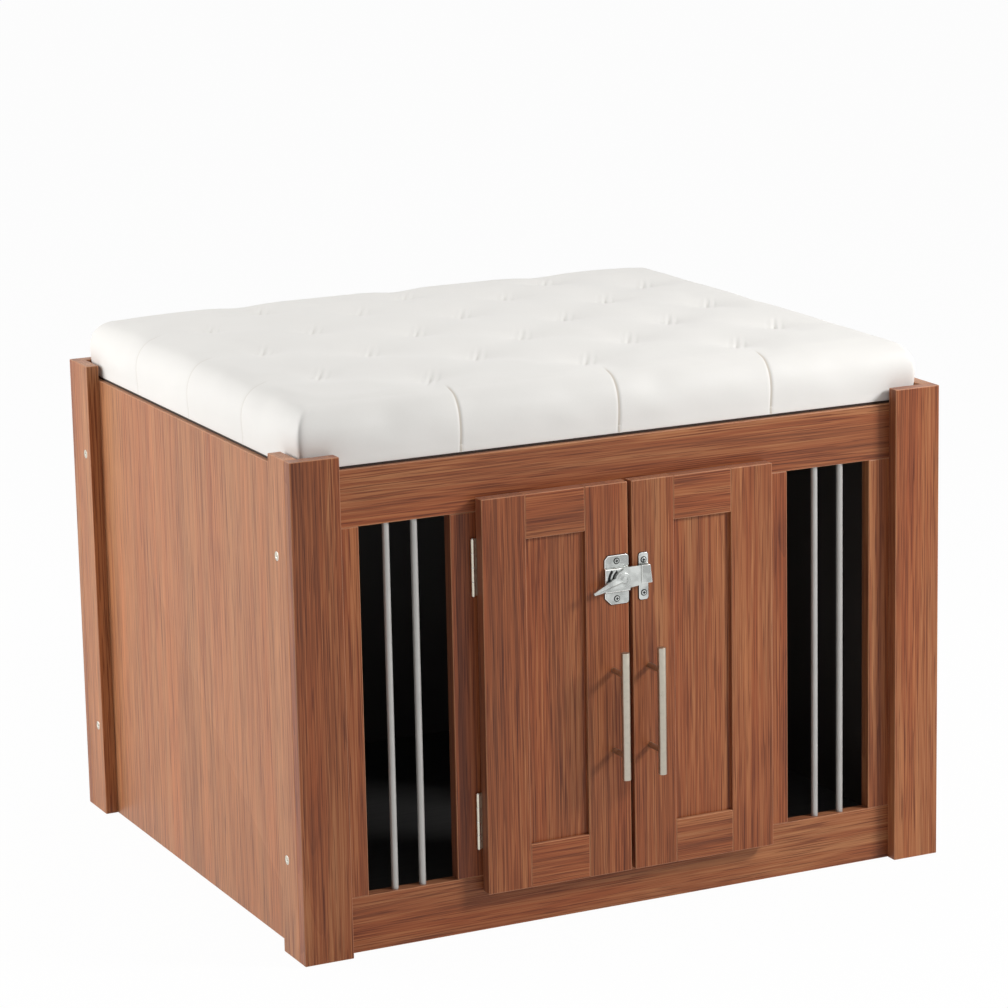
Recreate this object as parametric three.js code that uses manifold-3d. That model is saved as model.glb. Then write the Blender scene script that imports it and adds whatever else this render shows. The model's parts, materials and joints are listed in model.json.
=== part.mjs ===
// A dog crate that doubles as an end table and bench: a walnut-laminate cabinet on four L-shaped
// corner posts, two barred windows, a pair of framed doors with a cam latch, and a tufted cushion
// that lifts off. Millimetres, +Z up, the front towards -Y, the origin under the middle of the whole.

import * as THREE from 'three';
import { mergeVertices } from 'three/addons/utils/BufferGeometryUtils.js';
import Module from 'manifold-3d';

const wasm = await Module();
wasm.setup();

// ---------------------------------------------------------------- driving sizes

// Cabinet
const overall_width = 836;        // over the outer faces of the corner posts
const overall_depth = 712;        // over the front and rear faces of the corner posts
const carcass_height = 563;       // top edge of the panels and the front frame
const post_rise = 19;             // post tops above that edge
const board = 16;                 // laminated board used for posts, panels and frame
const post_face_width = 60;       // the post's board that faces front or rear
const post_side_width = 46;       // the post's board that lies on the side panel

// Front frame
const rail_height = 66;
const stile_width = 55.5;
const window_width = 112;
const rod_radius = 4;
const rod_inset = 36;             // window's outer edge to the first rod's axis
const rod_pitch = 34.6;
const rod_embed = 8;              // how far a rod stands in the rail

// Floor and base
const floor_board = 16;
const floor_cleat = 16;           // square section, also the floor's height above ground
const floor_clearance = 1;

// Doors
const door_thickness = 16;
const door_gap = 5;               // between the two doors
const door_lap_side = 25;         // door over the inner stile
const door_lap_top = 17;
const door_lap_bottom = 18;
const door_stile_width = 55;
const door_rail_height = 52;
const door_panel_thickness = 6;
const door_panel_recess = 5;      // door face back to the panel's face
const door_groove_depth = 8;

// Butt hinges
const hinge_length = 66;
const hinge_knuckles = 4;
const hinge_leaf_thickness = 1;
const hinge_leaf_width = 24;
const hinge_leaf_gap = 0.4;       // between the folded leaves
const hinge_axis_offset = 4.5;    // pin axis outside the door's edge
const hinge_axis_setback = 3;     // pin axis in front of the frame's face
const knuckle_radius = 2.5;
const hinge_pin_radius = 1.2;
const hinge_pin_proud = 0.8;
const hinge_spacing = 300;        // between the two hinges of a door
const hinge_middle_height = 2;    // middle of the two above the door's middle
const knuckle_clearance = 0.5;    // leaf's plate to the other leaf's knuckles

// Bar handles
const handle_length = 152;
const handle_radius = 5;
const handle_post_spacing = 96;
const handle_post_radius = 3.3;
const handle_axis_reach = 30;     // door face to the bar's axis
const handle_inset = 21;          // bar's axis to the door's meeting edge
const handle_height = 245;        // middle of the bar above the ground

// Cam latch
const latch_height = 400.5;
const latch_pivot_inset = 10;     // pivot to the left door's meeting edge
const latch_plate = 1.5;
const latch_body_width = 32;
const latch_body_height = 58;
const latch_flange_width = 25;
const latch_housing_height = 32;
const latch_housing_rise = 5;
const latch_housing_slope = 2.5;
const latch_corner = 3;
const rivet_radius = 2.3;
const rivet_head_radius = 4.2;
const rivet_head_round = 1;       // rounded rim of the head
const rivet_head_height = 1.4;
const rivet_tail_radius = 3.2;
const rivet_tail_height = 1;
const cam_thickness = 2.5;
const cam_hub_radius = 11;
const cam_boss_radius = 8.6;
const cam_boss_rise = 1.6;
const cam_arm_reach = 32;
const cam_arm_top = 13.5;         // arm's upper edge above the pivot
const cam_arm_bottom = 7;
const cam_lever_length = 41;
const cam_lever_drop = 11;        // lever tip below the pivot
const cam_lever_rise = 6;
const cam_lever_root = 15;
const cam_lever_tip = 5;
const keeper_width = 12;
const keeper_height = 55.5;
const keeper_inset = 8;           // keeper to the right door's meeting edge
const keeper_hook_bottom = -6.5;  // hook's span above and below the pivot
const keeper_hook_top = 15;
const keeper_lip_gap = 0.5;

// Connecting bolts
const bolt_inset = 114;           // bolt axis from the post's top and bottom
const bolt_setback = 29;          // bolt axis behind the face board
const bolt_head_radius = 5.5;
const bolt_head_thickness = 2;
const bolt_shank_radius = 3;
const bolt_bite = 11;             // how far the shank enters the side panel
const bolt_socket_radius = 2.3;
const bolt_socket_depth = 3;

// Seat
const seat_board_thickness = 12;
const seat_clearance = 1.5;       // cushion to the corner posts
const cushion_hem = 4;            // cover over the seat board's edge
const cushion_hem_rise = 3;       // hem above the cabinet's top edge
const cushion_edge_height = 71;   // shoulder above the cabinet's top edge
const cushion_crown = 7;
const cushion_pillow = 4;         // rise of the diamonds between the tufts
const cushion_corner_radius = 20;
const cushion_least_radius = 1;   // corner radius where an inset uses the round up
const cushion_shoulder = 14;      // top surface's edge in from the side
const cushion_roll_inset = 4;     // rounded edge's middle, in from the side
const cushion_roll_drop = 5;      // and below the shoulder
const cushion_side_drop = 18;     // shoulder down to the upright side
const cushion_waist = 0.6;        // cover drawn in level with the seat board's top
const hem_pull = 1.6;             // cover drawn in just above the hem
const hem_round = 2;              // height of that turn
const hem_flat = 1;               // flat underside of the hem
const tuft_columns = 8;           // pitches across the width
const tuft_rows = 8;              // pitches across the depth
const tuft_depth = 11;
const tuft_radius = 17;
const pleat_depth = 3;
const pleat_half_width = 12;

const fit = 0.3;                  // gap where one piece stands in another
const overshoot = 1;              // how far a cutter runs past the face it opens

// Sides of a round, steps of an arc, and lines of the cushion's top to each tuft pitch
const round_fine = 32;
const round_medium = 24;
const round_small = 16;
const corner_steps = 4;
const arm_steps = 8;
const column_lines = 3;
const row_lines = 2;

// ---------------------------------------------------------------- places worked out from the sizes

const door_hinge_gap = 2 * hinge_leaf_thickness + hinge_leaf_gap;
const handle_proud = door_hinge_gap + door_thickness + handle_axis_reach + handle_radius - board;
const front_y = (handle_proud - overall_depth) / 2;
const rear_y = front_y + overall_depth;
const half_width = overall_width / 2;
const post_height = carcass_height + post_rise;
const frame_face_y = front_y + board;
const frame_back_y = frame_face_y + board;
const panel_face_x = half_width - board;
const panel_inner_x = panel_face_x - board;
const back_panel_y = rear_y - 2 * board;
const window_outer_x = panel_inner_x - stile_width;
const window_inner_x = window_outer_x - window_width;
const doorway_half_width = window_inner_x - stile_width;
const window_height = carcass_height - 2 * rail_height;
const door_half_span = doorway_half_width + door_lap_side;
const door_width = door_half_span - door_gap / 2;
const door_bottom_z = rail_height - door_lap_bottom;
const door_height = window_height + door_lap_top + door_lap_bottom;
const door_back_y = frame_face_y - door_hinge_gap;
const door_face_y = door_back_y - door_thickness;
const hinge_x = door_half_span + hinge_axis_offset;
const hinge_y = frame_face_y - hinge_axis_setback;

// ---------------------------------------------------------------- materials

function finish(color, roughness, metalness) {
  return new THREE.MeshStandardMaterial({ color, roughness, metalness });
}
const walnut = finish(0x9a5f42, 0.55, 0);
const walnut_dark = finish(0x5a3422, 0.6, 0);
const grey_paint = finish(0x9c9fa3, 0.4, 0.3);
const nickel = finish(0xb9b5a6, 0.32, 1);
const zinc = finish(0xc9d0cc, 0.25, 1);
const steel = finish(0xbdbab2, 0.35, 1);
const plywood = finish(0x3a332d, 0.8, 0);
const faux_leather = finish(0xeae6df, 0.5, 0);

// ---------------------------------------------------------------- solids

function toSolid(geometry) {
  const bare = geometry.clone();
  bare.deleteAttribute('normal');
  bare.deleteAttribute('uv');
  const merged = mergeVertices(bare, 1e-4);
  return new wasm.Manifold(new wasm.Mesh({
    numProp: 3,
    vertProperties: new Float32Array(merged.attributes.position.array),
    triVerts: new Uint32Array(merged.index.array),
  }));
}

function toGeometry(solid) {
  const mesh = solid.getMesh();
  const geometry = new THREE.BufferGeometry();
  geometry.setAttribute('position', new THREE.BufferAttribute(mesh.vertProperties, 3));
  geometry.setIndex(new THREE.BufferAttribute(mesh.triVerts, 1));
  geometry.computeVertexNormals();
  return geometry;
}

function cut(geometry, tools) {
  return toGeometry(tools.reduce((solid, tool) => solid.subtract(toSolid(tool)), toSolid(geometry)));
}

function join(geometries) {
  return toGeometry(geometries.map(toSolid).reduce((whole, piece) => whole.add(piece)));
}

function blockBetween(low, high) {
  const geometry = new THREE.BoxGeometry(high[0] - low[0], high[1] - low[1], high[2] - low[2]);
  return geometry.translate((low[0] + high[0]) / 2, (low[1] + high[1]) / 2, (low[2] + high[2]) / 2);
}

// A cylinder along Z between two heights.
function rodAlongZ(radius, low, high, sides, x = 0, y = 0) {
  const geometry = new THREE.CylinderGeometry(radius, radius, high - low, sides);
  return geometry.rotateX(Math.PI / 2).translate(x, y, (low + high) / 2);
}

// A cylinder along Y between two depths.
function rodAlongY(radius, low, high, sides, x = 0, z = 0) {
  const geometry = new THREE.CylinderGeometry(radius, radius, high - low, sides);
  return geometry.translate(x, (low + high) / 2, z);
}

// A flat outline drawn in X and Z, with its thickness standing out from y = -near to y = -far.
function plateOnFace(points, near, far) {
  const outline = new THREE.Shape(points.map(([x, z]) => new THREE.Vector2(x, z)));
  const geometry = new THREE.ExtrudeGeometry(outline, { depth: far - near, bevelEnabled: false });
  return geometry.rotateX(Math.PI / 2).translate(0, -near, 0);
}

function arcPoints(cx, cz, radius, from, to, steps) {
  return Array.from({ length: steps + 1 }, (_, i) => {
    const angle = THREE.MathUtils.degToRad(from + ((to - from) * i) / steps);
    return [cx + radius * Math.cos(angle), cz + radius * Math.sin(angle)];
  });
}

// A rectangle with quarter-round corners, from its low and high corners.
function roundedOutline(x0, z0, x1, z1, radius) {
  return [
    ...arcPoints(x1 - radius, z1 - radius, radius, 0, 90, corner_steps),
    ...arcPoints(x0 + radius, z1 - radius, radius, 90, 180, corner_steps),
    ...arcPoints(x0 + radius, z0 + radius, radius, 180, 270, corner_steps),
    ...arcPoints(x1 - radius, z0 + radius, radius, 270, 360, corner_steps),
  ];
}

function addPiece(parent, name, geometry, material, x = 0, y = 0, z = 0) {
  const mesh = new THREE.Mesh(geometry, material);
  mesh.name = name;
  mesh.position.set(x, y, z);
  parent.add(mesh);
  return mesh;
}

const sides = [{ word: 'left', sign: -1 }, { word: 'right', sign: 1 }];
const ends = [{ word: 'front', sign: -1 }, { word: 'rear', sign: 1 }];
const bolt_heights = [
  { word: 'lower', z: bolt_inset },
  { word: 'upper', z: post_height - bolt_inset },
];

// ---------------------------------------------------------------- corner posts, panels, bolts

// Bolt axes lie this far along Y from the middle of the cabinet's depth.
const cabinet_middle_y = (front_y + rear_y) / 2;
const bolt_y_reach = overall_depth / 2 - board - bolt_setback;

// Every bolt hole of one side, as cutters along X around x = 0, out to both sides of it.
function boltCutters(radius, inner, outer) {
  return ends.flatMap((end) => bolt_heights.map((height) => {
    const hole = new THREE.CylinderGeometry(radius, radius, outer - inner, round_small);
    return hole.rotateZ(Math.PI / 2).translate((inner + outer) / 2, end.sign * bolt_y_reach, height.z);
  }));
}

function cornerPost(parent, side, end) {
  const face = blockBetween([-post_face_width / 2, -board / 2, 0],
    [post_face_width / 2, board / 2, post_height]);
  const face_x = side.sign * (half_width - post_face_width / 2);
  const face_y = end.sign < 0 ? front_y + board / 2 : rear_y - board / 2;
  addPiece(parent, `post_${end.word}_${side.word}_face_board`, face, walnut, face_x, face_y, 0);

  const side_y = end.sign * (overall_depth / 2 - board - post_side_width / 2);
  const plain = blockBetween([-board / 2, side_y - post_side_width / 2, 0],
    [board / 2, side_y + post_side_width / 2, post_height]);
  const head_inner = side.sign * (board / 2 - bolt_head_thickness);
  const head_outer = side.sign * (board / 2 + overshoot);
  const holes = boltCutters(bolt_shank_radius + fit, -board, board);
  const counterbores = boltCutters(bolt_head_radius + fit,
    Math.min(head_inner, head_outer), Math.max(head_inner, head_outer));
  const drilled = cut(plain, [...holes, ...counterbores]);
  const side_x = side.sign * (half_width - board / 2);
  addPiece(parent, `post_${end.word}_${side.word}_side_board`, drilled, walnut, side_x, cabinet_middle_y, 0);
}

function sidePanel(parent, side) {
  const half_depth = overall_depth / 2 - board;
  const plain = blockBetween([-board / 2, -half_depth, 0], [board / 2, half_depth, carcass_height]);
  const bottom = side.sign * (board / 2 - bolt_bite - fit);
  const mouth = side.sign * board;
  const holes = boltCutters(bolt_shank_radius + fit, Math.min(bottom, mouth), Math.max(bottom, mouth));
  const x = side.sign * (panel_face_x - board / 2);
  addPiece(parent, `side_panel_${side.word}`, cut(plain, holes), walnut, x, cabinet_middle_y, 0);
}

// The bolt's axis is local Z, its head's outer face at z = 0 and its shank below.
function boltShape() {
  const length = board + bolt_bite;
  const profile = [
    [0, -length], [bolt_shank_radius, -length], [bolt_shank_radius, -bolt_head_thickness],
    [bolt_head_radius, -bolt_head_thickness], [bolt_head_radius, 0], [0, 0],
  ].map(([r, z]) => new THREE.Vector2(r, z));
  const turned = new THREE.LatheGeometry(profile, round_small).rotateX(Math.PI / 2);
  const socket = rodAlongZ(bolt_socket_radius, -bolt_socket_depth, overshoot, 6);
  return cut(turned, [socket]);
}

function connectingBolts(parent, side) {
  for (const end of ends) {
    for (const height of bolt_heights) {
      const name = `bolt_${end.word}_${side.word}_${height.word}`;
      const y = cabinet_middle_y + end.sign * bolt_y_reach;
      const bolt = addPiece(parent, name, boltShape(), steel, side.sign * half_width, y, height.z);
      bolt.rotation.y = side.sign * Math.PI / 2;
    }
  }
}

function backPanel(parent) {
  const geometry = blockBetween([-panel_inner_x, 0, 0], [panel_inner_x, board, carcass_height]);
  addPiece(parent, 'back_panel', geometry, walnut, 0, back_panel_y, 0);
}

// ---------------------------------------------------------------- floor

function floorAndCleats(parent) {
  const half_x = panel_inner_x - floor_clearance;
  const front = frame_back_y + floor_clearance;
  const rear = back_panel_y - floor_clearance;
  const panel = blockBetween([-half_x, front, 0], [half_x, rear, floor_board]);
  addPiece(parent, 'floor_panel', panel, walnut_dark, 0, 0, floor_cleat);
  for (const side of sides) {
    const cleat = blockBetween([-floor_cleat / 2, front, 0], [floor_cleat / 2, rear, floor_cleat]);
    const x = side.sign * (panel_inner_x - floor_cleat / 2);
    addPiece(parent, `floor_cleat_${side.word}`, cleat, walnut_dark, x, 0, 0);
  }
}

// ---------------------------------------------------------------- front frame and window rods

const rod_places = sides.flatMap((side) => [
  { name: `window_rod_${side.word}_outer`, x: side.sign * (window_outer_x - rod_inset) },
  { name: `window_rod_${side.word}_inner`, x: side.sign * (window_outer_x - rod_inset - rod_pitch) },
]);

// The rod sockets go down into a rail from z_mouth, or up into it where the depth is negative.
function frameRail(parent, name, low_z, z_mouth, depth) {
  const plain = blockBetween([-panel_inner_x, -board / 2, low_z],
    [panel_inner_x, board / 2, low_z + rail_height]);
  const bottom = z_mouth - depth;
  const past = z_mouth + Math.sign(depth) * overshoot;
  const sockets = rod_places.map((rod) => rodAlongZ(rod_radius + fit,
    Math.min(bottom, past), Math.max(bottom, past), round_medium, rod.x));
  addPiece(parent, name, cut(plain, sockets), walnut, 0, frame_face_y + board / 2, 0);
}

function frontFrame(parent) {
  const socket_depth = rod_embed + fit;
  const top_z = carcass_height - rail_height;
  frameRail(parent, 'frame_bottom_rail', 0, rail_height, socket_depth);
  frameRail(parent, 'frame_top_rail', top_z, top_z, -socket_depth);
  const stile = blockBetween([-stile_width / 2, -board / 2, 0], [stile_width / 2, board / 2, window_height]);
  const y = frame_face_y + board / 2;
  for (const side of sides) {
    const outer_x = side.sign * (panel_inner_x - stile_width / 2);
    const inner_x = side.sign * (window_inner_x - stile_width / 2);
    addPiece(parent, `frame_outer_stile_${side.word}`, stile, walnut, outer_x, y, rail_height);
    addPiece(parent, `frame_inner_stile_${side.word}`, stile, walnut, inner_x, y, rail_height);
  }
}

function windowRods(parent) {
  for (const rod of rod_places) {
    const geometry = rodAlongZ(rod_radius, -rod_embed, window_height + rod_embed, round_medium);
    addPiece(parent, rod.name, geometry, grey_paint, rod.x, frame_face_y + board / 2, rail_height);
  }
}

// ---------------------------------------------------------------- hinges

const hinge_middle_z = door_bottom_z + door_height / 2 + hinge_middle_height;
const hinge_places = [
  { word: 'lower', z: hinge_middle_z - hinge_spacing / 2 },
  { word: 'upper', z: hinge_middle_z + hinge_spacing / 2 },
];
const knuckle_length = hinge_length / hinge_knuckles;

// One leaf about the pin's axis at the origin. inward is +1 or -1, the way from the pin to the door.
// first is the lowest knuckle that this leaf holds, near_y and far_y its plate's two faces.
function hingeLeaf(inward, first, near_y, far_y, holds_pin) {
  const low = -hinge_length / 2;
  const root = inward * (knuckle_radius + knuckle_clearance);
  const web = root + inward * knuckle_clearance;
  const tip = inward * (hinge_axis_offset + hinge_leaf_width);
  const pieces = [];
  const clearance = fit / 2;
  for (let i = 0; i < hinge_knuckles; i += 1) {
    const own = i % 2 === first;
    const from = low + i * knuckle_length + (own && i > 0 ? clearance : 0);
    const to = low + (i + 1) * knuckle_length - (own && i < hinge_knuckles - 1 ? clearance : 0);
    if (own) {
      pieces.push(rodAlongZ(knuckle_radius, from, to, round_medium));
      pieces.push(blockBetween([Math.min(0, web), near_y, from], [Math.max(0, web), far_y, to]));
    }
  }
  pieces.push(blockBetween([Math.min(root, tip), near_y, low], [Math.max(root, tip), far_y, -low]));
  const leaf = join(pieces);
  const pin_reach = hinge_length / 2 + hinge_pin_proud;
  if (holds_pin) {
    return join([leaf, rodAlongZ(hinge_pin_radius, -pin_reach, pin_reach, round_small)]);
  }
  return cut(leaf, [rodAlongZ(hinge_pin_radius + fit, -pin_reach, pin_reach, round_small)]);
}

function frameLeaf(parent, side, place) {
  const far = hinge_axis_setback;
  const leaf = hingeLeaf(-side.sign, 0, far - hinge_leaf_thickness, far, true);
  const name = `hinge_${side.word}_${place.word}_frame_leaf`;
  addPiece(parent, name, leaf, steel, side.sign * hinge_x, hinge_y, place.z);
}

function doorLeaf(door, side, place) {
  const near = hinge_axis_setback - door_hinge_gap;
  const leaf = hingeLeaf(-side.sign, 1, near, near + hinge_leaf_thickness, false);
  addPiece(door, `hinge_${side.word}_${place.word}_door_leaf`, leaf, steel, 0, 0, place.z);
}

// ---------------------------------------------------------------- doors

const panel_opening_width = door_width - 2 * door_stile_width;
const panel_opening_height = door_height - 2 * door_rail_height;
const groove_near = door_panel_recess - fit;
const groove_far = door_panel_recess + door_panel_thickness + fit;

// A cutter for the groove that holds the door's panel, in a member whose face is at y = 0.
function grooveCutter(x0, x1, z0, z1) {
  return blockBetween([x0, groove_near, z0], [x1, groove_far, z1]);
}

function doorStile(door, name, x, groove_side) {
  const half = door_stile_width / 2;
  const plain = blockBetween([-half, 0, 0], [half, door_thickness, door_height]);
  const mouth = groove_side * (half + overshoot);
  const bottom = groove_side * (half - door_groove_depth);
  const groove = grooveCutter(Math.min(mouth, bottom), Math.max(mouth, bottom),
    door_rail_height - door_groove_depth, door_height - door_rail_height + door_groove_depth);
  addPiece(door, name, cut(plain, [groove]), walnut, x, door_face_y - hinge_y, door_bottom_z);
}

function doorRail(door, name, x, z, groove_up) {
  const half = panel_opening_width / 2;
  const past = half + overshoot;
  const plain = blockBetween([-half, 0, 0], [half, door_thickness, door_rail_height]);
  const groove = groove_up
    ? grooveCutter(-past, past, door_rail_height - door_groove_depth, door_rail_height + overshoot)
    : grooveCutter(-past, past, -overshoot, door_groove_depth);
  addPiece(door, name, cut(plain, [groove]), walnut, x, door_face_y - hinge_y, z);
}

function doorPanel(door, name, x) {
  const tongue = door_groove_depth - fit;
  const half = panel_opening_width / 2 + tongue;
  const geometry = blockBetween([-half, door_panel_recess, -tongue],
    [half, door_panel_recess + door_panel_thickness, panel_opening_height + tongue]);
  addPiece(door, name, geometry, walnut, x, door_face_y - hinge_y, door_bottom_z + door_rail_height);
}

function barHandle(door, name, x) {
  const reach = handle_axis_reach;
  const bar = rodAlongZ(handle_radius, -handle_length / 2, handle_length / 2, round_medium, 0, -reach);
  const posts = [-1, 1].map((end) => rodAlongY(handle_post_radius, -reach, 0, round_small, 0,
    (end * handle_post_spacing) / 2));
  addPiece(door, name, join([bar, ...posts]), nickel, x, door_face_y - hinge_y, handle_height);
}

// A door group turns about its origin, which is on the hinge pins' axis.
function makeDoor(side) {
  const door = new THREE.Group();
  door.position.set(side.sign * hinge_x, hinge_y, 0);
  const inward = -side.sign;
  const middle = inward * (hinge_axis_offset + door_width / 2);
  const stile_shift = (door_width - door_stile_width) / 2;
  const word = side.word;
  doorStile(door, `door_${word}_hinge_stile`, middle - inward * stile_shift, inward);
  doorStile(door, `door_${word}_meeting_stile`, middle + inward * stile_shift, -inward);
  doorRail(door, `door_${word}_bottom_rail`, middle, door_bottom_z, true);
  doorRail(door, `door_${word}_top_rail`, middle, door_bottom_z + door_height - door_rail_height, false);
  doorPanel(door, `door_${word}_panel`, middle);
  barHandle(door, `handle_${word}`, inward * (hinge_axis_offset + door_width - handle_inset));
  hinge_places.forEach((place) => doorLeaf(door, side, place));
  return door;
}

// ---------------------------------------------------------------- cam latch

const housing_top = latch_housing_rise;
const cam_back = housing_top + fit;
const cam_front = cam_back + cam_thickness;
const boss_front = cam_front + cam_boss_rise;
const lip_back = cam_front + keeper_lip_gap;
const lip_front = lip_back + latch_plate;
const latch_pivot_x = -door_gap / 2 - latch_pivot_inset;
const body_right = latch_pivot_inset;
const body_left = body_right - latch_body_width;

// The housing's cross-section, a low bridge, run along X between two ends.
function bridgeAlongX(left, right, foot, top, rise) {
  const section = new THREE.Shape([[-foot, 0], [foot, 0], [top, rise], [-top, rise]]
    .map(([z, y]) => new THREE.Vector2(z, y)));
  const bar = new THREE.ExtrudeGeometry(section, { depth: right - left, bevelEnabled: false });
  const basis = new THREE.Matrix4().makeBasis(
    new THREE.Vector3(0, 0, 1), new THREE.Vector3(0, -1, 0), new THREE.Vector3(1, 0, 0));
  return bar.applyMatrix4(basis).translate(left, 0, 0);
}

function latchBody(parent) {
  const foot = latch_housing_height / 2;
  const top = foot - latch_housing_slope;
  const flange_middle = (body_left + body_right) / 2;
  const flange = plateOnFace(roundedOutline(
    flange_middle - latch_flange_width / 2, -latch_body_height / 2,
    flange_middle + latch_flange_width / 2, latch_body_height / 2, latch_corner), 0, latch_plate);
  const outer = bridgeAlongX(body_left, body_right, foot, top, latch_housing_rise);
  const inner = bridgeAlongX(body_left - overshoot, body_right + overshoot, foot - latch_plate,
    top - latch_plate, latch_housing_rise - latch_plate);
  const pivot_hole = rodAlongY(rivet_radius + fit, -latch_housing_rise - overshoot, overshoot, round_small);
  const geometry = cut(join([flange, outer]), [inner, pivot_hole]);
  addPiece(parent, 'latch_body', geometry, zinc);
}

// The rivet's tail is spread under the housing and its head holds the cam down.
function latchRivet(parent) {
  const tail_front = latch_housing_rise - latch_plate - fit;
  const tail_back = tail_front - rivet_tail_height;
  const head_back = boss_front + fit;
  const rivet = new THREE.LatheGeometry([
    [0, tail_back], [rivet_tail_radius, tail_back], [rivet_tail_radius, tail_front],
    [rivet_radius, tail_front], [rivet_radius, head_back], [rivet_head_radius, head_back],
    [rivet_head_radius - rivet_head_round, head_back + rivet_head_round],
    [0, head_back + rivet_head_height],
  ].map(([r, out]) => new THREE.Vector2(r, out)), round_small);
  addPiece(parent, 'latch_rivet', toGeometry(toSolid(rivet.rotateX(Math.PI))), steel);
}

// Local X runs from the pivot towards the keeper, and the lever points the other way and down.
function latchCam(parent) {
  const edge_angle = (height) => THREE.MathUtils.radToDeg(Math.asin(height / cam_arm_reach));
  const arm = plateOnFace([
    [0, -cam_hub_radius],
    ...arcPoints(0, 0, cam_arm_reach, edge_angle(-cam_arm_bottom), edge_angle(cam_arm_top), arm_steps),
    [0, cam_arm_top],
  ], cam_back, cam_front);
  const hub = rodAlongY(cam_hub_radius, -cam_front, -cam_back, round_fine);
  const boss = rodAlongY(cam_boss_radius, -boss_front, -cam_back, round_fine);
  const lever_angle = Math.atan2(cam_lever_drop, cam_lever_length);
  const lever_reach = Math.hypot(cam_lever_drop, cam_lever_length);
  const lever_section = new THREE.Shape([
    [0, -cam_lever_root / 2], [lever_reach, -cam_lever_tip / 2],
    [lever_reach, cam_lever_tip / 2], [0, cam_lever_root / 2],
  ].map(([x, z]) => new THREE.Vector2(x, z)));
  const lever = new THREE.ExtrudeGeometry(lever_section, { depth: cam_thickness, bevelEnabled: false });
  lever.rotateX(Math.PI / 2).translate(0, -cam_back, 0);
  const places = lever.attributes.position;
  for (let i = 0; i < places.count; i += 1) {
    const along = Math.max(0, places.getX(i)) / lever_reach;
    places.setY(i, places.getY(i) - along * cam_lever_rise);
  }
  lever.rotateY(Math.PI - lever_angle);
  const cam = join([arm, hub, boss, lever]);
  const pivot_hole = rodAlongY(rivet_radius + fit, -boss_front - overshoot, overshoot, round_small);
  addPiece(parent, 'latch_cam', cut(cam, [pivot_hole]), zinc);
}

function latchKeeper(parent) {
  const left = door_gap + latch_pivot_inset + keeper_inset;
  const right = left + keeper_width;
  const middle_z = keeper_height / 2;
  const flange = plateOnFace(roundedOutline(left, -middle_z, right, middle_z, latch_corner), 0, latch_plate);
  const leg = blockBetween([right - latch_plate, -lip_front, keeper_hook_bottom],
    [right, 0, keeper_hook_top]);
  const lip = blockBetween([left, -lip_front, keeper_hook_bottom], [right, -lip_back, keeper_hook_top]);
  addPiece(parent, 'latch_keeper', join([flange, leg, lip]), zinc);
}

// ---------------------------------------------------------------- seat board and cushion

const cushion_half_x = panel_face_x - seat_clearance;
const cushion_half_y = overall_depth / 2 - board - seat_clearance;
const seat_top_z = carcass_height + seat_board_thickness;
const cushion_edge_z = carcass_height + cushion_edge_height;

// Pulls a plan point back onto a rectangle with round corners, inset from the cushion's outline.
function planPoint(x, y, inset) {
  const half_x = cushion_half_x - inset;
  const half_y = cushion_half_y - inset;
  const radius = Math.max(cushion_corner_radius - inset, cushion_least_radius);
  const px = x * half_x;
  const py = y * half_y;
  const core_x = THREE.MathUtils.clamp(px, radius - half_x, half_x - radius);
  const core_y = THREE.MathUtils.clamp(py, radius - half_y, half_y - radius);
  const reach = Math.hypot(px - core_x, py - core_y);
  const scale = reach > radius ? radius / reach : 1;
  return [core_x + (px - core_x) * scale, core_y + (py - core_y) * scale];
}

// Lines across the cushion from -1 to 1, a few to each tuft pitch, with one at each round corner's end.
function planLines(half_length, count) {
  const even = Array.from({ length: count + 1 }, (_, i) => (2 * i) / count - 1);
  const corner = 1 - cushion_corner_radius / half_length;
  return [...even, -corner, corner].sort((a, b) => a - b);
}

function seatBoard(parent) {
  const corner_u = 1 - cushion_corner_radius / cushion_half_x;
  const corner_v = 1 - cushion_corner_radius / cushion_half_y;
  const quarter = [[1, corner_v], [1, 1], [corner_u, 1]];
  const inset = cushion_hem + fit;
  const outline = [
    ...quarter,
    ...quarter.map(([u, v]) => [-u, v]).reverse(),
    ...quarter.map(([u, v]) => [-u, -v]),
    ...quarter.map(([u, v]) => [u, -v]).reverse(),
  ].map(([u, v]) => new THREE.Vector2(...planPoint(u, v, inset)));
  const geometry = new THREE.ExtrudeGeometry(new THREE.Shape(outline),
    { depth: seat_board_thickness, bevelEnabled: false });
  addPiece(parent, 'seat_board', geometry, plywood, 0, cabinet_middle_y, carcass_height);
}

// Tufts stand on every other crossing of the pitch lines, so that their folds make diamonds.
function tuftedHeight(u, v) {
  const a = ((u + 1) / 2) * tuft_columns;
  const b = ((v + 1) / 2) * tuft_rows;
  const fold = Math.abs(Math.sin((Math.PI * (a + b - 1)) / 2) * Math.sin((Math.PI * (a - b + 1)) / 2));
  const crown = cushion_crown * (1 - u ** 4) * (1 - v ** 4);
  let dent = 0;
  for (let column = 1; column < tuft_columns; column += 1) {
    for (let row = 1; row < tuft_rows; row += 1) {
      if ((column + row) % 2 === 1) {
        const dx = ((a - column) * 2 * cushion_half_x) / tuft_columns;
        const dy = ((b - row) * 2 * cushion_half_y) / tuft_rows;
        dent += tuft_depth * Math.exp(-(dx * dx + dy * dy) / (2 * tuft_radius ** 2));
      }
    }
  }
  return crown + cushion_pillow * Math.sqrt(fold) * (1 - u ** 8) * (1 - v ** 8) - dent;
}

// How far a side is pulled in at its sewn pleats, which stand at its quarter points.
function pleatInset(along, half_length) {
  const quarter = half_length / 2;
  const distances = [-quarter, 0, quarter].map((place) => Math.abs(along - place));
  return pleat_depth * Math.max(0, 1 - Math.min(...distances) / pleat_half_width);
}

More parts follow.
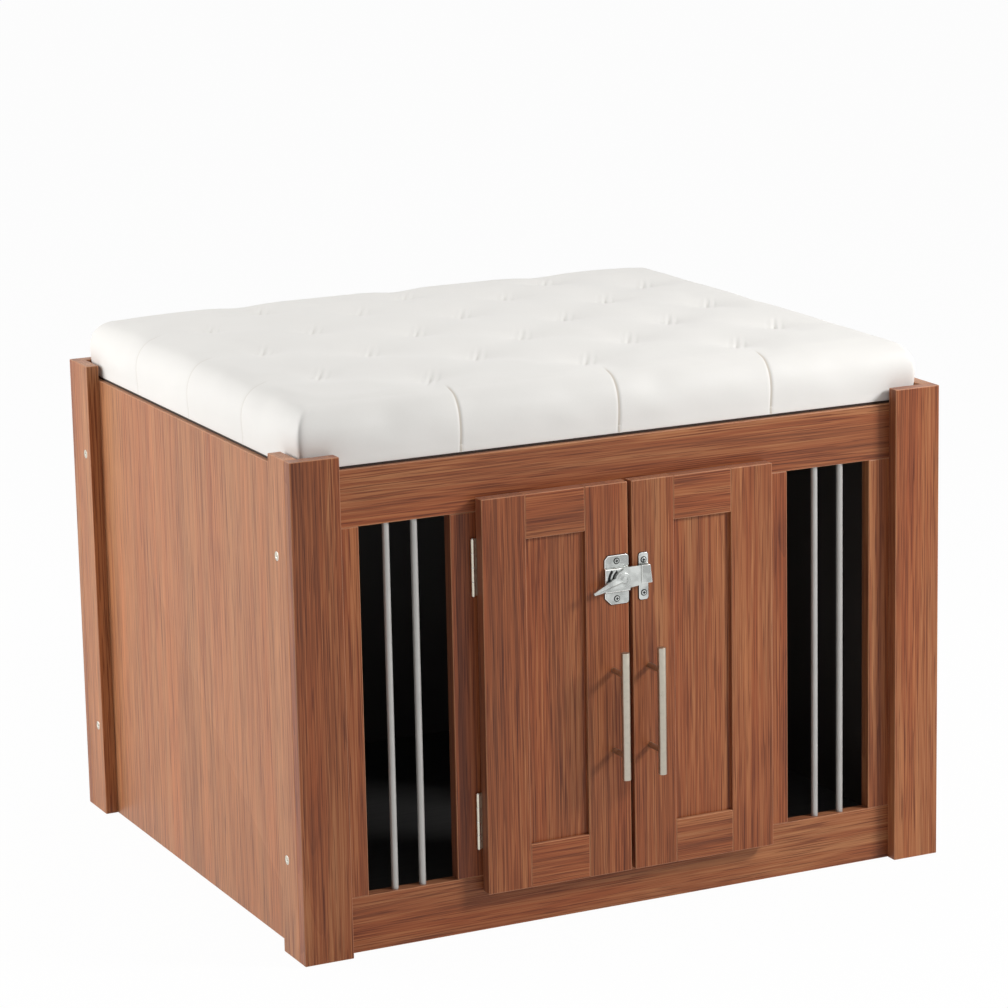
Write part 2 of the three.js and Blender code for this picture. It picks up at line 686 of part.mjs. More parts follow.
// A grid for the tufted top, then rings down the side and round the hem to the pocket for the seat board.
function cushionGeometry() {
  const lines_u = planLines(cushion_half_x, column_lines * tuft_columns);
  const lines_v = planLines(cushion_half_y, row_lines * tuft_rows);
  const nx = lines_u.length - 1;
  const ny = lines_v.length - 1;
  const positions = [];
  const index = [];
  const grid = (i, j) => j * (nx + 1) + i;
  for (const v of lines_v) {
    for (const u of lines_u) {
      const [x, y] = planPoint(u, v, cushion_shoulder);
      positions.push(x, y, cushion_edge_z + tuftedHeight(u, v));
    }
  }
  for (let j = 0; j < ny; j += 1) {
    for (let i = 0; i < nx; i += 1) {
      const corners = [grid(i, j), grid(i + 1, j), grid(i + 1, j + 1), grid(i, j + 1)];
      index.push(corners[0], corners[1], corners[2], corners[0], corners[2], corners[3]);
    }
  }
  const rim = [
    ...lines_u.slice(1).map((_, i) => [i, 0]),
    ...lines_v.slice(1).map((_, j) => [nx, j]),
    ...lines_u.slice(1).map((_, i) => [nx - i, ny]),
    ...lines_v.slice(1).map((_, j) => [0, ny - j]),
  ];

  const pocket_top = seat_top_z + fit;
  const hem_z = carcass_height + cushion_hem_rise;
  const rings = [
    { inset: cushion_roll_inset, z: cushion_edge_z - cushion_roll_drop, pleated: 1 },
    { inset: 0, z: cushion_edge_z - cushion_side_drop, pleated: 1 },
    { inset: 0, z: (cushion_edge_z + seat_top_z) / 2, pleated: 1 },
    { inset: cushion_waist, z: seat_top_z, pleated: 0 },
    { inset: hem_pull, z: hem_z + hem_round, pleated: 0 },
    { inset: cushion_hem - hem_flat, z: hem_z, pleated: 0 },
    { inset: cushion_hem, z: hem_z, pleated: 0 },
    { inset: cushion_hem, z: pocket_top, pleated: 0 },
  ];
  let above = rim.map(([i, j]) => grid(i, j));
  for (const ring of rings) {
    const start = positions.length / 3;
    for (const [i, j] of rim) {
      const u = lines_u[i];
      const v = lines_v[j];
      const on_long_side = Math.abs(v) === 1;
      const pleat = on_long_side ? pleatInset(u * cushion_half_x, cushion_half_x)
        : pleatInset(v * cushion_half_y, cushion_half_y);
      const [x, y] = planPoint(u, v, ring.inset + ring.pleated * pleat);
      positions.push(x, y, ring.z);
    }
    const below = rim.map((_, k) => start + k);
    for (let k = 0; k < rim.length; k += 1) {
      const next = (k + 1) % rim.length;
      index.push(above[k], below[k], below[next], above[k], below[next], above[next]);
    }
    above = below;
  }
  const centre = positions.length / 3;
  positions.push(0, 0, pocket_top);
  for (let k = 0; k < rim.length; k += 1) {
    index.push(above[(k + 1) % rim.length], above[k], centre);
  }

  const geometry = new THREE.BufferGeometry();
  geometry.setAttribute('position', new THREE.BufferAttribute(new Float32Array(positions), 3));
  geometry.setIndex(index);
  geometry.computeVertexNormals();
  return geometry;
}

// ---------------------------------------------------------------- assembly

const crate = new THREE.Group();

const cabinet = new THREE.Group();
for (const side of sides) {
  ends.forEach((end) => cornerPost(cabinet, side, end));
  sidePanel(cabinet, side);
  connectingBolts(cabinet, side);
  hinge_places.forEach((place) => frameLeaf(cabinet, side, place));
}
backPanel(cabinet);
floorAndCleats(cabinet);
frontFrame(cabinet);
windowRods(cabinet);
crate.add(cabinet);

sides.forEach((side) => crate.add(makeDoor(side)));

const latch = new THREE.Group();
latch.position.set(latch_pivot_x, door_face_y, latch_height);
latchBody(latch);
latchRivet(latch);
latchCam(latch);
latchKeeper(latch);
crate.add(latch);

const seat = new THREE.Group();
seatBoard(seat);
addPiece(seat, 'cushion', cushionGeometry(), faux_leather, 0, cabinet_middle_y, 0);
crate.add(seat);

export default crate;
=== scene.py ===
import json
import math
import random

import bmesh
import bpy
from bpy.props import FloatProperty, FloatVectorProperty, IntProperty, PointerProperty
from mathutils import Matrix, Vector


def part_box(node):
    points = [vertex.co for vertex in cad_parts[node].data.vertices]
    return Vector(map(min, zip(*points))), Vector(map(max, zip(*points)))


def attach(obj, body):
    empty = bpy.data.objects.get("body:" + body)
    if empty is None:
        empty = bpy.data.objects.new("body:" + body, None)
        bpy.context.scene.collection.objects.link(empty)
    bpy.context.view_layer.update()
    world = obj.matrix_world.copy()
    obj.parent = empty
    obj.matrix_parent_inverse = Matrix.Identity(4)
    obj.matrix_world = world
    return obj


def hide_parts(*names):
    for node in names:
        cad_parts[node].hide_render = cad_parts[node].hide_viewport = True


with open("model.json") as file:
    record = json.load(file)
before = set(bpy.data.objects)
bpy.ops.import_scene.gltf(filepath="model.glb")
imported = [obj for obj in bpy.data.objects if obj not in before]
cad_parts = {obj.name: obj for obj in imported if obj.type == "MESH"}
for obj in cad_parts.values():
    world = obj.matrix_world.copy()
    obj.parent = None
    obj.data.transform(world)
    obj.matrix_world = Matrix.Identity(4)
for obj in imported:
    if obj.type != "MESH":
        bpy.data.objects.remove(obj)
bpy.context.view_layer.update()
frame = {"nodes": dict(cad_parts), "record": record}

bl_info = {
    "name": "Dog Crate End Table",
    "version": (1, 0, 0),
    "blender": (4, 5, 0),
    "location": "View3D > Sidebar > Crate",
    "description": "Walnut boards, hardware and a tufted cushion around the frame of a dog crate",
    "category": "Object",
}

MM = 0.001
BODY_OF = {node: body for body, nodes in frame["record"]["behaviour"]["bodies"].items() for node in nodes}
SIDES = {"left": -1, "right": 1}
AXES = "XYZ"


# ---------------------------------------------------------------- settings

class BoardSettings(bpy.types.PropertyGroup):
    """Sizes and colours of the walnut laminate."""
    edge_round: FloatProperty(name="Edge round", description="Width of the eased edge of a board",
                              default=0.9 * MM, unit="LENGTH", precision=5)
    ring_spacing: FloatProperty(name="Ring spacing", description="Distance between growth rings",
                                default=7 * MM, unit="LENGTH", precision=5)
    pale: FloatVectorProperty(name="Pale", description="Lightest wood", subtype="COLOR",
                              default=(0.398, 0.166, 0.066))
    middle: FloatVectorProperty(name="Middle", description="Main colour of the wood", subtype="COLOR",
                                default=(0.284, 0.083, 0.027))
    dark: FloatVectorProperty(name="Dark", description="Darkest grain line", subtype="COLOR",
                              default=(0.125, 0.034, 0.012))
    # The inside colour is painted shade: inner faces are painted near black for the dark inside of the closed crate.
    inside: FloatVectorProperty(name="Inside", description="Black laminate of the inner faces",
                                subtype="COLOR", default=(0.11, 0.10, 0.094))


class MetalSettings(bpy.types.PropertyGroup):
    """Colours of the hardware."""
    nickel: FloatVectorProperty(name="Nickel", description="Handles", subtype="COLOR",
                                default=(0.50, 0.455, 0.38))
    steel: FloatVectorProperty(name="Steel", description="Hinges, bolts and screws", subtype="COLOR",
                               default=(0.64, 0.60, 0.50))
    zinc: FloatVectorProperty(name="Zinc", description="Latch", subtype="COLOR",
                              default=(0.63, 0.65, 0.63))
    paint: FloatVectorProperty(name="Paint", description="Window rods", subtype="COLOR",
                               default=(0.50, 0.49, 0.47))


class CushionSettings(bpy.types.PropertyGroup):
    """Form and colour of the tufted cushion."""
    leather: FloatVectorProperty(name="Leather", description="Cover", subtype="COLOR",
                                 default=(0.835, 0.816, 0.783))
    spacing: FloatProperty(name="Mesh spacing", description="Distance between the cover's mesh lines",
                           default=8.4 * MM, unit="LENGTH", precision=4)
    crown: FloatProperty(name="Crown", description="Height of the top's middle above its edge",
                         default=9 * MM, unit="LENGTH", precision=4)
    tuft_depth: FloatProperty(name="Tuft depth", description="How far a tuft is drawn down",
                              default=5.4 * MM, unit="LENGTH", precision=4)
    fold_depth: FloatProperty(name="Fold depth", description="Depth of the folds at a tuft",
                              default=1.7 * MM, unit="LENGTH", precision=4)
    pleat_depth: FloatProperty(name="Pleat depth", description="Depth of the sewn pleats in the sides",
                               default=1.2 * MM, unit="LENGTH", precision=4)
    pressure: FloatProperty(name="Pressure", description="Inflation of the cover in the simulation",
                            default=3.5)
    frames: IntProperty(name="Frames", description="Steps of the simulation", default=20)


class StageSettings(bpy.types.PropertyGroup):
    """Light on the piece, in watts."""
    side_power: FloatProperty(name="Side light", description="Large soft light from the left", default=57)
    key_power: FloatProperty(name="Key light", description="Light from the upper right", default=67)
    top_power: FloatProperty(name="Top light", description="Large soft light from above", default=20)
    world_light: FloatProperty(name="World", description="Even light from all round", default=0.16)


# ---------------------------------------------------------------- pieces

def add_piece(bm, name, material, body, replaced=(), smooth_angle=None):
    mesh = bpy.data.meshes.new(name)
    bm.to_mesh(mesh)
    bm.free()
    mesh.materials.append(material)
    if smooth_angle is not None:
        mesh.shade_smooth()
        mesh.set_sharp_from_angle(angle=math.radians(smooth_angle))
    piece = bpy.data.objects.new(name, mesh)
    bpy.context.scene.collection.objects.link(piece)
    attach(piece, body)
    if replaced:
        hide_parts(*replaced)
    return piece


def node_mesh(node):
    """The CAD node's solid with its triangles merged into flat faces."""
    bm = bmesh.new()
    bm.from_mesh(frame["nodes"][node].data)
    bmesh.ops.remove_doubles(bm, verts=bm.verts, dist=0.005 * MM)
    bmesh.ops.dissolve_limit(bm, angle_limit=math.radians(1), verts=bm.verts, edges=bm.edges)
    bm.faces.layers.float.new("rim")
    return bm


def ease(bm, edges, width, segments=2):
    """Rounds some edges, and marks the rounding where the mesh has a rim layer; the materials lighten marked faces as
    a painted highlight.
    """
    made = bmesh.ops.bevel(bm, geom=edges, offset=width, offset_type="OFFSET", segments=segments,
                           affect="EDGES", profile=0.5, material=-1, clamp_overlap=True)
    rim = bm.faces.layers.float.get("rim")
    for face in made["faces"] if rim else ():
        face[rim] = 1.0


def outer_edges(bm, low, high):
    """The edges that lie on the edges of the box between two corners."""
    def extremes(vert):
        return {(axis, side) for axis in range(3) for side, corner in enumerate((low, high))
                if abs(vert.co[axis] - corner[axis]) < 0.02 * MM}
    return [edge for edge in bm.edges if len(extremes(edge.verts[0]) & extremes(edge.verts[1])) >= 2]


def sharp_edges(bm, angle):
    return [edge for edge in bm.edges if len(edge.link_faces) == 2 and edge.calc_face_angle() > angle]


def cylinder(bm, radius, start, end, sides=48, rim=0.0, end_radius=None):
    """A closed cylinder or cone between two points, with an eased rim where one is given."""
    start, end = Vector(start), Vector(end)
    turn = (end - start).to_track_quat("Z", "Y").to_matrix().to_4x4()
    place = Matrix.Translation((start + end) / 2) @ turn
    made = bmesh.ops.create_cone(bm, cap_ends=True, segments=sides, radius1=radius,
                                 radius2=radius if end_radius is None else end_radius,
                                 depth=(end - start).length, matrix=place)
    if rim > 0:
        caps = {face for vert in made["verts"] for face in vert.link_faces if len(face.verts) == sides}
        ease(bm, list({edge for face in caps for edge in face.edges}), rim)
    return made["verts"]


# ---------------------------------------------------------------- materials

class NodeTree:
    """A material's node tree, with short ways to add nodes and to link them."""

    def __init__(self, name):
        self.material = bpy.data.materials.new(name)
        self.material.use_nodes = True
        self.tree = self.material.node_tree
        self.shader = self.tree.nodes["Principled BSDF"]

    def node(self, kind, inputs=None, **settings):
        made = self.tree.nodes.new("ShaderNode" + kind)
        for key, value in settings.items():
            setattr(made, key, value)
        for key, value in (inputs or {}).items():
            self.feed(made.inputs[key], value)
        return made

    def feed(self, socket, value):
        if isinstance(value, bpy.types.NodeSocket):
            self.tree.links.new(value, socket)
        else:
            socket.default_value = value

    def math(self, operation, *values):
        made = self.node("Math", operation=operation)
        for socket, value in zip(made.inputs, values):
            self.feed(socket, value)
        return made.outputs[0]

    def noise(self, vector, scale=1.0, detail=3.0, roughness=0.55, **settings):
        made = self.node("TexNoise", {"Vector": vector, "Scale": scale, "Detail": detail,
                                      "Roughness": roughness}, **settings)
        return made.outputs[0]

    def vector(self, x, y, z):
        return self.node("CombineXYZ", {"X": x, "Y": y, "Z": z}).outputs[0]

    def remap(self, value, low, high, to_low=0.0, to_high=1.0):
        made = self.node("MapRange", {"Value": value, "From Min": low, "From Max": high,
                                      "To Min": to_low, "To Max": to_high})
        return made.outputs[0]

    def ramp(self, value, stops):
        made = self.node("ValToRGB", {"Fac": value})
        elements = made.color_ramp.elements
        while len(elements) < len(stops):
            elements.new(0.5)
        for element, (position, colour) in zip(elements, stops):
            element.position = position
            element.color = (*colour, 1)
        return made.outputs[0]

    def blend(self, kind, factor, first, second):
        made = self.node("Mix", data_type="RGBA", blend_type=kind)
        for socket, value in ((made.inputs[0], factor), (made.inputs[6], first), (made.inputs[7], second)):
            self.feed(socket, value)
        return made.outputs[2]

    def bump(self, height, distance, strength=1.0):
        made = self.node("Bump", {"Height": height, "Distance": distance, "Strength": strength})
        self.tree.links.new(made.outputs[0], self.shader.inputs["Normal"])


def walnut(name, along, across, heart, tone_and_painted_light, inner_face=None):
    """Flat-sawn walnut: growth rings cut into arches about a heart line, with fibres and pores.

    along and across name the axes of the grain and of the board's width. heart is the distance of
    the arches' middle line from the origin, and tone_and_painted_light makes one board a little darker
    or lighter: a small random shift, plus painted light and shade where the board faces a lamp or
    stands in shadow.
    inner_face gives the axis, the side and the place past which the board is painted near black, as shade inside the
    closed crate."""
    settings = bpy.context.scene.crate_boards
    dice = random.Random(name)
    t = NodeTree("walnut_" + name)
    place = t.node("TexCoord").outputs["Object"]
    split = t.node("SeparateXYZ", {"Vector": place})
    depth_axis = next(axis for axis in AXES if axis not in (along, across))
    u = t.math("ADD", split.outputs[along], dice.uniform(3, 9))
    v = t.math("SUBTRACT", split.outputs[across], heart)
    w = t.math("ADD", split.outputs[depth_axis], dice.uniform(3, 9))

    def stretched(along_scale, across_scale):
        return t.vector(t.math("MULTIPLY", u, along_scale), t.math("MULTIPLY", v, across_scale),
                        t.math("MULTIPLY", w, across_scale))

    sway = t.remap(t.noise(stretched(1.8, 7)), 0.25, 0.75, -0.007, 0.007)
    v_swayed = t.math("ADD", v, sway)
    radius = t.math("SQRT", t.math("ADD", t.math("POWER", v_swayed, 2), dice.uniform(0.01, 0.02) ** 2))
    taper = dice.choice((-1, 1)) * dice.uniform(0.02, 0.05)
    phase = t.math("DIVIDE", t.math("SUBTRACT", radius, t.math("MULTIPLY", u, taper)),
                   settings.ring_spacing)
    phase = t.math("ADD", phase, t.math("MULTIPLY", t.noise(stretched(2.5, 30), detail=2), 1.6))
    layers = (
        (t.noise(t.vector(phase, t.math("MULTIPLY", u, 1.5), 0.0), detail=3, roughness=0.6), 0.48),
        (t.noise(stretched(1.1, 52), detail=2), 0.36),
        (t.noise(stretched(4.5, 480), detail=3, roughness=0.65), 0.80),
        (t.noise(stretched(1.0, 5), detail=1), 0.34),
    )
    figure = 0.525 + tone_and_painted_light
    for layer, weight in layers:
        figure = t.math("ADD", figure, t.math("MULTIPLY", t.math("SUBTRACT", layer, 0.5), weight))
    late_wood = t.math("POWER", t.math("FRACT", phase), 5)
    vividness = t.remap(t.noise(stretched(0.9, 22), detail=1), 0.45, 0.70, 0.0, 0.12)
    figure = t.math("SUBTRACT", figure, t.math("MULTIPLY", late_wood, vividness))
    fibres = layers[2][0]
    pores = t.remap(t.noise(stretched(12, 760), detail=1), 0.56, 0.63)
    colour = t.ramp(figure, [(0.28, tuple(settings.dark)), (0.42, tuple(0.80 * c for c in settings.middle)),
                             (0.50, tuple(settings.middle)), (0.68, tuple(settings.pale)),
                             (0.90, tuple(1.3 * c for c in settings.pale))])
    warmth = t.remap(t.noise(stretched(1.3, 24), detail=2), 0.38, 0.66, 0.0, 0.85)
    colour = t.blend("MULTIPLY", warmth, colour, (1.05, 0.86, 0.74, 1))
    colour = t.blend("MULTIPLY", t.math("MULTIPLY", pores, 0.85), colour, (0.46, 0.34, 0.28, 1))
    # Painted highlight: the eased edges are lightened towards a pale brown, as where light catches them.
    rim = t.node("Attribute", attribute_name="rim").outputs["Fac"]
    colour = t.blend("MIX", t.math("MULTIPLY", rim, 0.55), colour, (0.56, 0.26, 0.13, 1))
    # Painted shade: past the inner face's edge the colour is mixed to near black.
    if inner_face is not None:
        axis, side, edge = inner_face
        inside = t.math("GREATER_THAN" if side > 0 else "LESS_THAN", split.outputs[axis], edge)
        colour = t.blend("MIX", inside, colour, (*settings.inside, 1))
    t.feed(t.shader.inputs["Base Color"], colour)
    t.feed(t.shader.inputs["Roughness"], t.remap(fibres, 0.3, 0.7, 0.5, 0.4))
    t.shader.inputs["Specular IOR Level"].default_value = 0.34
    t.shader.inputs["Sheen Weight"].default_value = 0.22
    t.shader.inputs["Sheen Roughness"].default_value = 0.4
    t.shader.inputs["Sheen Tint"].default_value = (1.0, 0.87, 0.72, 1)
    t.bump(t.math("SUBTRACT", t.math("MULTIPLY", fibres, 0.4), pores), 0.05 * MM, 0.5)
    return t.material


def metal(name, colour, roughness, brush, along="Z", cloud_scale=160, darkest=0.93):
    """Metal with brushing along one axis, of strength brush, and with clouds down to a darkest share; a low share, as
    on the zinc, paints dark reflections into the colour.
    """
    t = NodeTree(name)
    place = t.node("TexCoord").outputs["Object"]
    scale = tuple(60 if axis == along else 2600 for axis in AXES)
    strokes = t.noise(t.node("Mapping", {"Vector": place, "Scale": scale}).outputs[0], detail=2)
    # Clouds darken the colour down to the darkest share; with a low share they are painted reflections.
    clouds = t.noise(place, scale=cloud_scale, detail=2)
    tinted = t.ramp(clouds, [(0.36, tuple(darkest * c for c in colour)), (0.62, tuple(colour))])
    # Painted highlight: the eased edges are lightened to near white.
    rim = t.node("Attribute", attribute_name="rim").outputs["Fac"]
    t.feed(t.shader.inputs["Base Color"], t.blend("MIX", rim, tinted, (0.93, 0.93, 0.90, 1)))
    t.feed(t.shader.inputs["Roughness"], t.remap(t.math("ADD", strokes, clouds), 0.7, 1.3,
                                                 roughness - 0.06, roughness + 0.08))
    t.shader.inputs["Metallic"].default_value = 1.0
    t.bump(strokes, 0.02 * MM, brush)
    return t.material


def rod_paint():
    t = NodeTree("grey_paint")
    place = t.node("TexCoord").outputs["Object"]
    peel = t.noise(place, scale=900, detail=2)
    t.feed(t.shader.inputs["Base Color"], t.ramp(t.noise(place, scale=30), [
        (0.3, tuple(0.9 * c for c in bpy.context.scene.crate_metal.paint)),
        (0.7, tuple(bpy.context.scene.crate_metal.paint))]))
    t.feed(t.shader.inputs["Roughness"], t.remap(peel, 0.3, 0.7, 0.36, 0.46))
    t.shader.inputs["Metallic"].default_value = 0.35
    t.bump(peel, 0.03 * MM, 0.5)
    return t.material


def dark_board(name, darkest, lightest):
    """Dark-faced board with a faint grain between two colours; its dark colour is painted shade."""
    t = NodeTree(name)
    place = t.node("TexCoord").outputs["Object"]
    grain = t.noise(t.node("Mapping", {"Vector": place, "Scale": (12, 300, 300)}).outputs[0])
    t.feed(t.shader.inputs["Base Color"], t.ramp(grain, [(0.3, darkest), (0.7, lightest)]))
    t.shader.inputs["Roughness"].default_value = 0.8
    t.bump(grain, 0.1 * MM, 0.5)
    return t.material


def faux_leather():
    """A fine pebbled cover, darkened a little in its creases as painted shade."""
    t = NodeTree("faux_leather")
    leather = tuple(bpy.context.scene.crate_cushion.leather)
    place = t.node("TexCoord").outputs["Object"]
    pebbles = t.node("TexVoronoi", {"Vector": place, "Scale": 700.0}, feature="SMOOTH_F1").outputs[0]
    clouds = t.noise(place, scale=7, detail=3)
    base = t.ramp(clouds, [(0.3, tuple(0.965 * c for c in leather)), (0.7, leather)])
    # Painted shade: the marked folds and pleats are darkened towards a grey brown.
    crease = t.node("Attribute", attribute_name="crease").outputs["Fac"]
    crease_shaded = t.blend("MIX", t.math("MULTIPLY", crease, 0.75), base, (0.47, 0.39, 0.30, 1))
    t.feed(t.shader.inputs["Base Color"], crease_shaded)
    t.feed(t.shader.inputs["Roughness"], t.remap(clouds, 0.3, 0.7, 0.52, 0.60))
    t.shader.inputs["Specular IOR Level"].default_value = 0.38
    t.bump(t.math("ADD", pebbles, t.math("MULTIPLY", t.noise(place, scale=2400), 0.5)), 0.12 * MM, 0.35)
    return t.material


# ---------------------------------------------------------------- boards

def grain_axes(node):
    """The axes of a board's grain and of its width: rails and the floor run across, the rest upright."""
    if "rail" in node or node == "floor_panel":
        return "X", ("Y" if node == "floor_panel" else "Z")
    return "Z", ("Y" if "side_" in node else "X")


# Painted light and shade, per board. The side panels and the posts' side boards are paler where the side light falls.
# The front posts are darker on the left and lighter on the right, towards the key light. The inner stile by the left
# door and the right door's hinge stile are darker where the doors' shadows fall.
BOARD_PAINTED_LIGHT = (("side_panel", 0.19), ("post_front_left_face", -0.03), ("post_front_right_face", 0.03),
               ("post_front", 0.17), ("post_", 0.12), ("frame_inner_stile_left", -0.06),
               ("door_right_hinge_stile", -0.04))
INNER_SHADE_DEPTH = 0.4 * MM         # depth from an inner face past which it is painted near black as shade


def board_painted_light(node):
    return next((tone_and_painted_light for start, tone_and_painted_light in BOARD_PAINTED_LIGHT if node.startswith(start)), 0.0)


def black_face(node):
    """The axis, side and place past which a board is painted near black as shade inside the crate, or None."""
    low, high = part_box(node)
    if node == "side_panel_left":
        return "X", 1, high.x - INNER_SHADE_DEPTH
    if node == "side_panel_right":
        return "X", -1, low.x + INNER_SHADE_DEPTH
    if node == "back_panel":
        return "Y", -1, low.y + INNER_SHADE_DEPTH
    if node.startswith("frame_"):
        return "Y", 1, high.y - INNER_SHADE_DEPTH
    return None


def board_material(node):
    low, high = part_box(node)
    along, across = grain_axes(node)
    dice = random.Random("heart " + node)
    axis = AXES.index(across)
    middle = (low[axis] + high[axis]) / 2
    width = high[axis] - low[axis]
    heart = middle + dice.uniform(-0.5, 0.5) * max(width, 0.12)
    # A small random shift, plus the board's painted light and shade.
    tone_and_painted_light = board_painted_light(node) + dice.uniform(-0.01, 0.01)
    return walnut(node, along, across, heart, tone_and_painted_light, black_face(node))


def dress_board(node):
    bm = node_mesh(node)
    ease(bm, outer_edges(bm, *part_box(node)), bpy.context.scene.crate_boards.edge_round)
    return add_piece(bm, "walnut_" + node, board_material(node), BODY_OF[node], [node])


class CRATE_OT_cabinet(bpy.types.Operator):
    """Corner posts, side and back panels and the front frame, with eased edges"""
    bl_idname = "crate.cabinet"
    bl_label = "Cabinet boards"

    def execute(self, context):
        for node in frame["nodes"]:
            if node.startswith(("post_", "side_panel_", "back_panel", "frame_")):
                dress_board(node)
        return {"FINISHED"}


class CRATE_OT_doors(bpy.types.Operator):
    """The stiles, rails and panel of each door"""
    bl_idname = "crate.doors"
    bl_label = "Doors"

    def execute(self, context):
        for node in frame["nodes"]:
            if node.startswith("door_"):
                dress_board(node)
        return {"FINISHED"}


class CRATE_OT_inside(bpy.types.Operator):
    """Floor, cleats and the board under the cushion, painted dark: shade inside the crate and shadow under the
    cushion's hem
    """
    bl_idname = "crate.inside"
    bl_label = "Floor and seat board"

    def execute(self, context):
        # Painted shade: the floor and its cleats are near black inside the crate.
        laminate = dark_board("interior_shade_black", (0.060, 0.058, 0.057), (0.078, 0.075, 0.073))
        # Painted shadow: the board under the cushion is near-black brown, for the shade in the gap under the cushion's
        # hem.
        gap_shadow = dark_board("seat_gap_shadow_brown", (0.018, 0.009, 0.006), (0.034, 0.017, 0.011))
        for node in ("floor_panel", "floor_cleat_left", "floor_cleat_right"):
            bm = node_mesh(node)
            ease(bm, outer_edges(bm, *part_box(node)), context.scene.crate_boards.edge_round)
            add_piece(bm, "black_" + node, laminate, "carcass", [node])
        bm = node_mesh("seat_board")
        ease(bm, sharp_edges(bm, math.radians(60)), 0.6 * MM)
        add_piece(bm, "seat_base", gap_shadow, "seat", ["seat_board"])
        return {"FINISHED"}


# ---------------------------------------------------------------- hardware

class CRATE_OT_rods(bpy.types.Operator):
    """Painted rods in the windows"""
    bl_idname = "crate.rods"
    bl_label = "Window rods"

    def execute(self, context):
        paint = rod_paint()
        for node in frame["nodes"]:
            if node.startswith("window_rod_"):
                low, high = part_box(node)
                centre = (low + high) / 2
                bm = bmesh.new()
                cylinder(bm, (high.x - low.x) / 2, (centre.x, centre.y, low.z), (centre.x, centre.y, high.z))
                add_piece(bm, "painted_" + node, paint, "carcass", [node], smooth_angle=40)
        return {"FINISHED"}


class CRATE_OT_bolts(bpy.types.Operator):
    """Connecting bolts with a hex socket, flush in the posts' side boards"""
    bl_idname = "crate.bolts"
    bl_label = "Connecting bolts"

    def execute(self, context):
        steel = metal("bolt_steel", context.scene.crate_metal.steel, 0.3, 0.15, along="X")
        for node in frame["nodes"]:
            if node.startswith("bolt_"):
                bm = node_mesh(node)
                ease(bm, sharp_edges(bm, math.radians(50)), 0.25 * MM)
                add_piece(bm, "steel_" + node, steel, "carcass", [node], smooth_angle=35)
        return {"FINISHED"}


KNUCKLE_FACET = 0.9 * MM    # longer than one facet of a knuckle's rim
LEAF = 1 * MM               # thickness of a hinge leaf
LEAF_GAP = 0.4 * MM         # between the folded leaves
LEAF_SCREWS = ((15 * MM, -22 * MM), (7 * MM, 0), (15 * MM, 22 * MM))    # in from a leaf's tip, and up


class CRATE_OT_hinges(bpy.types.Operator):
    """Butt hinges: both leaves with their knuckles"""
    bl_idname = "crate.hinges"
    bl_label = "Hinges"

    def execute(self, context):
        steel = metal("hinge_steel", context.scene.crate_metal.steel, 0.3, 0.2)
        for node in frame["nodes"]:
            if node.startswith("hinge_"):
                bm = node_mesh(node)
                knuckle_rims = [edge for edge in sharp_edges(bm, math.radians(60))
                                if edge.calc_length() < KNUCKLE_FACET]
                ease(bm, knuckle_rims, 0.6 * MM)
                add_piece(bm, "steel_" + node, steel, BODY_OF[node], [node], smooth_angle=35)
        # Near-black metal for painted shade: the hinge screws' dark rings and crosses.
        dark = metal("countersink_steel", (0.05, 0.05, 0.05), 0.5, 0.1)
        for leaf, facing, from_frame in (("frame", -1, LEAF), ("door", 1, LEAF + LEAF_GAP)):
            for side, sign in SIDES.items():
                places = []
                for level in ("lower", "upper"):
                    low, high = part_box(f"hinge_{side}_{level}_frame_leaf")
                    tip = high.x if sign < 0 else low.x
                    places += [(tip + sign * inset, (low.z + high.z) / 2 + height) for inset, height in LEAF_SCREWS]
                screws(f"hinge_{side}_{leaf}_screws", places, high.y - from_frame,
                       "carcass" if leaf == "frame" else side + "_door", steel, dark, 0.16 * MM, facing)
        return {"FINISHED"}


class CRATE_OT_handles(bpy.types.Operator):
    """Brushed bar handles on two posts each"""
    bl_idname = "crate.handles"
    bl_label = "Bar handles"

    def execute(self, context):
        nickel = metal("brushed_nickel", context.scene.crate_metal.nickel, 0.33, 0.5)
        for side in SIDES:
            node = "handle_" + side
            low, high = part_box(node)
            radius = (high.x - low.x) / 2
            x, bar_y = (low.x + high.x) / 2, low.y + radius
            middle = (low.z + high.z) / 2
            bm = bmesh.new()
            cylinder(bm, radius, (x, bar_y, low.z), (x, bar_y, high.z), rim=0.7 * MM)
            for offset in (-48 * MM, 48 * MM):
                cylinder(bm, 3.3 * MM, (x, high.y, middle + offset), (x, bar_y, middle + offset), sides=32)
            add_piece(bm, "nickel_" + node, nickel, BODY_OF[node], [node], smooth_angle=40)
        return {"FINISHED"}


PLATE = 1.5 * MM            # the latch's sheet metal
PLATE_CORNERS = ((True, True, 4.5 * MM, 1), (True, False, 8 * MM, 1),   # left?, upper?, size, steps
                 (False, True, 3.5 * MM, 4), (False, False, 3.5 * MM, 4))
SHADOW_OUTLINE_REACH = 0.55 * MM     # how far the painted shadow round a plate reaches
BODY_SCREW = (-6 * MM, 22.3 * MM)       # from the pivot: across, and up and down
KEEPER_SCREW = 19.5 * MM    # above and below the keeper's middle
GUARD_RING = (14.4 * MM, 16.4 * MM)     # radii of the raised ring round the hub
GUARD_ARC = (128, 184)      # degrees from the keeper's side, over the top
# Dark arcs just proud of the housing: painted shadow where the guard's groove lines are.
GUARD_GROOVE_SHADOWS = (((11.4 * MM, 14.3 * MM), (122, 186)), ((16.5 * MM, 19.4 * MM), (138, 184)))
LEVER_TIP = (-41 * MM, -11 * MM)        # from the pivot: across and up


def block(bm, low, high):
    """A box between two corners."""
    low, high = Vector(low), Vector(high)
    place = Matrix.Translation((low + high) / 2) @ Matrix.Diagonal((*(high - low), 1))
    return bmesh.ops.create_cube(bm, size=1, matrix=place)["verts"]


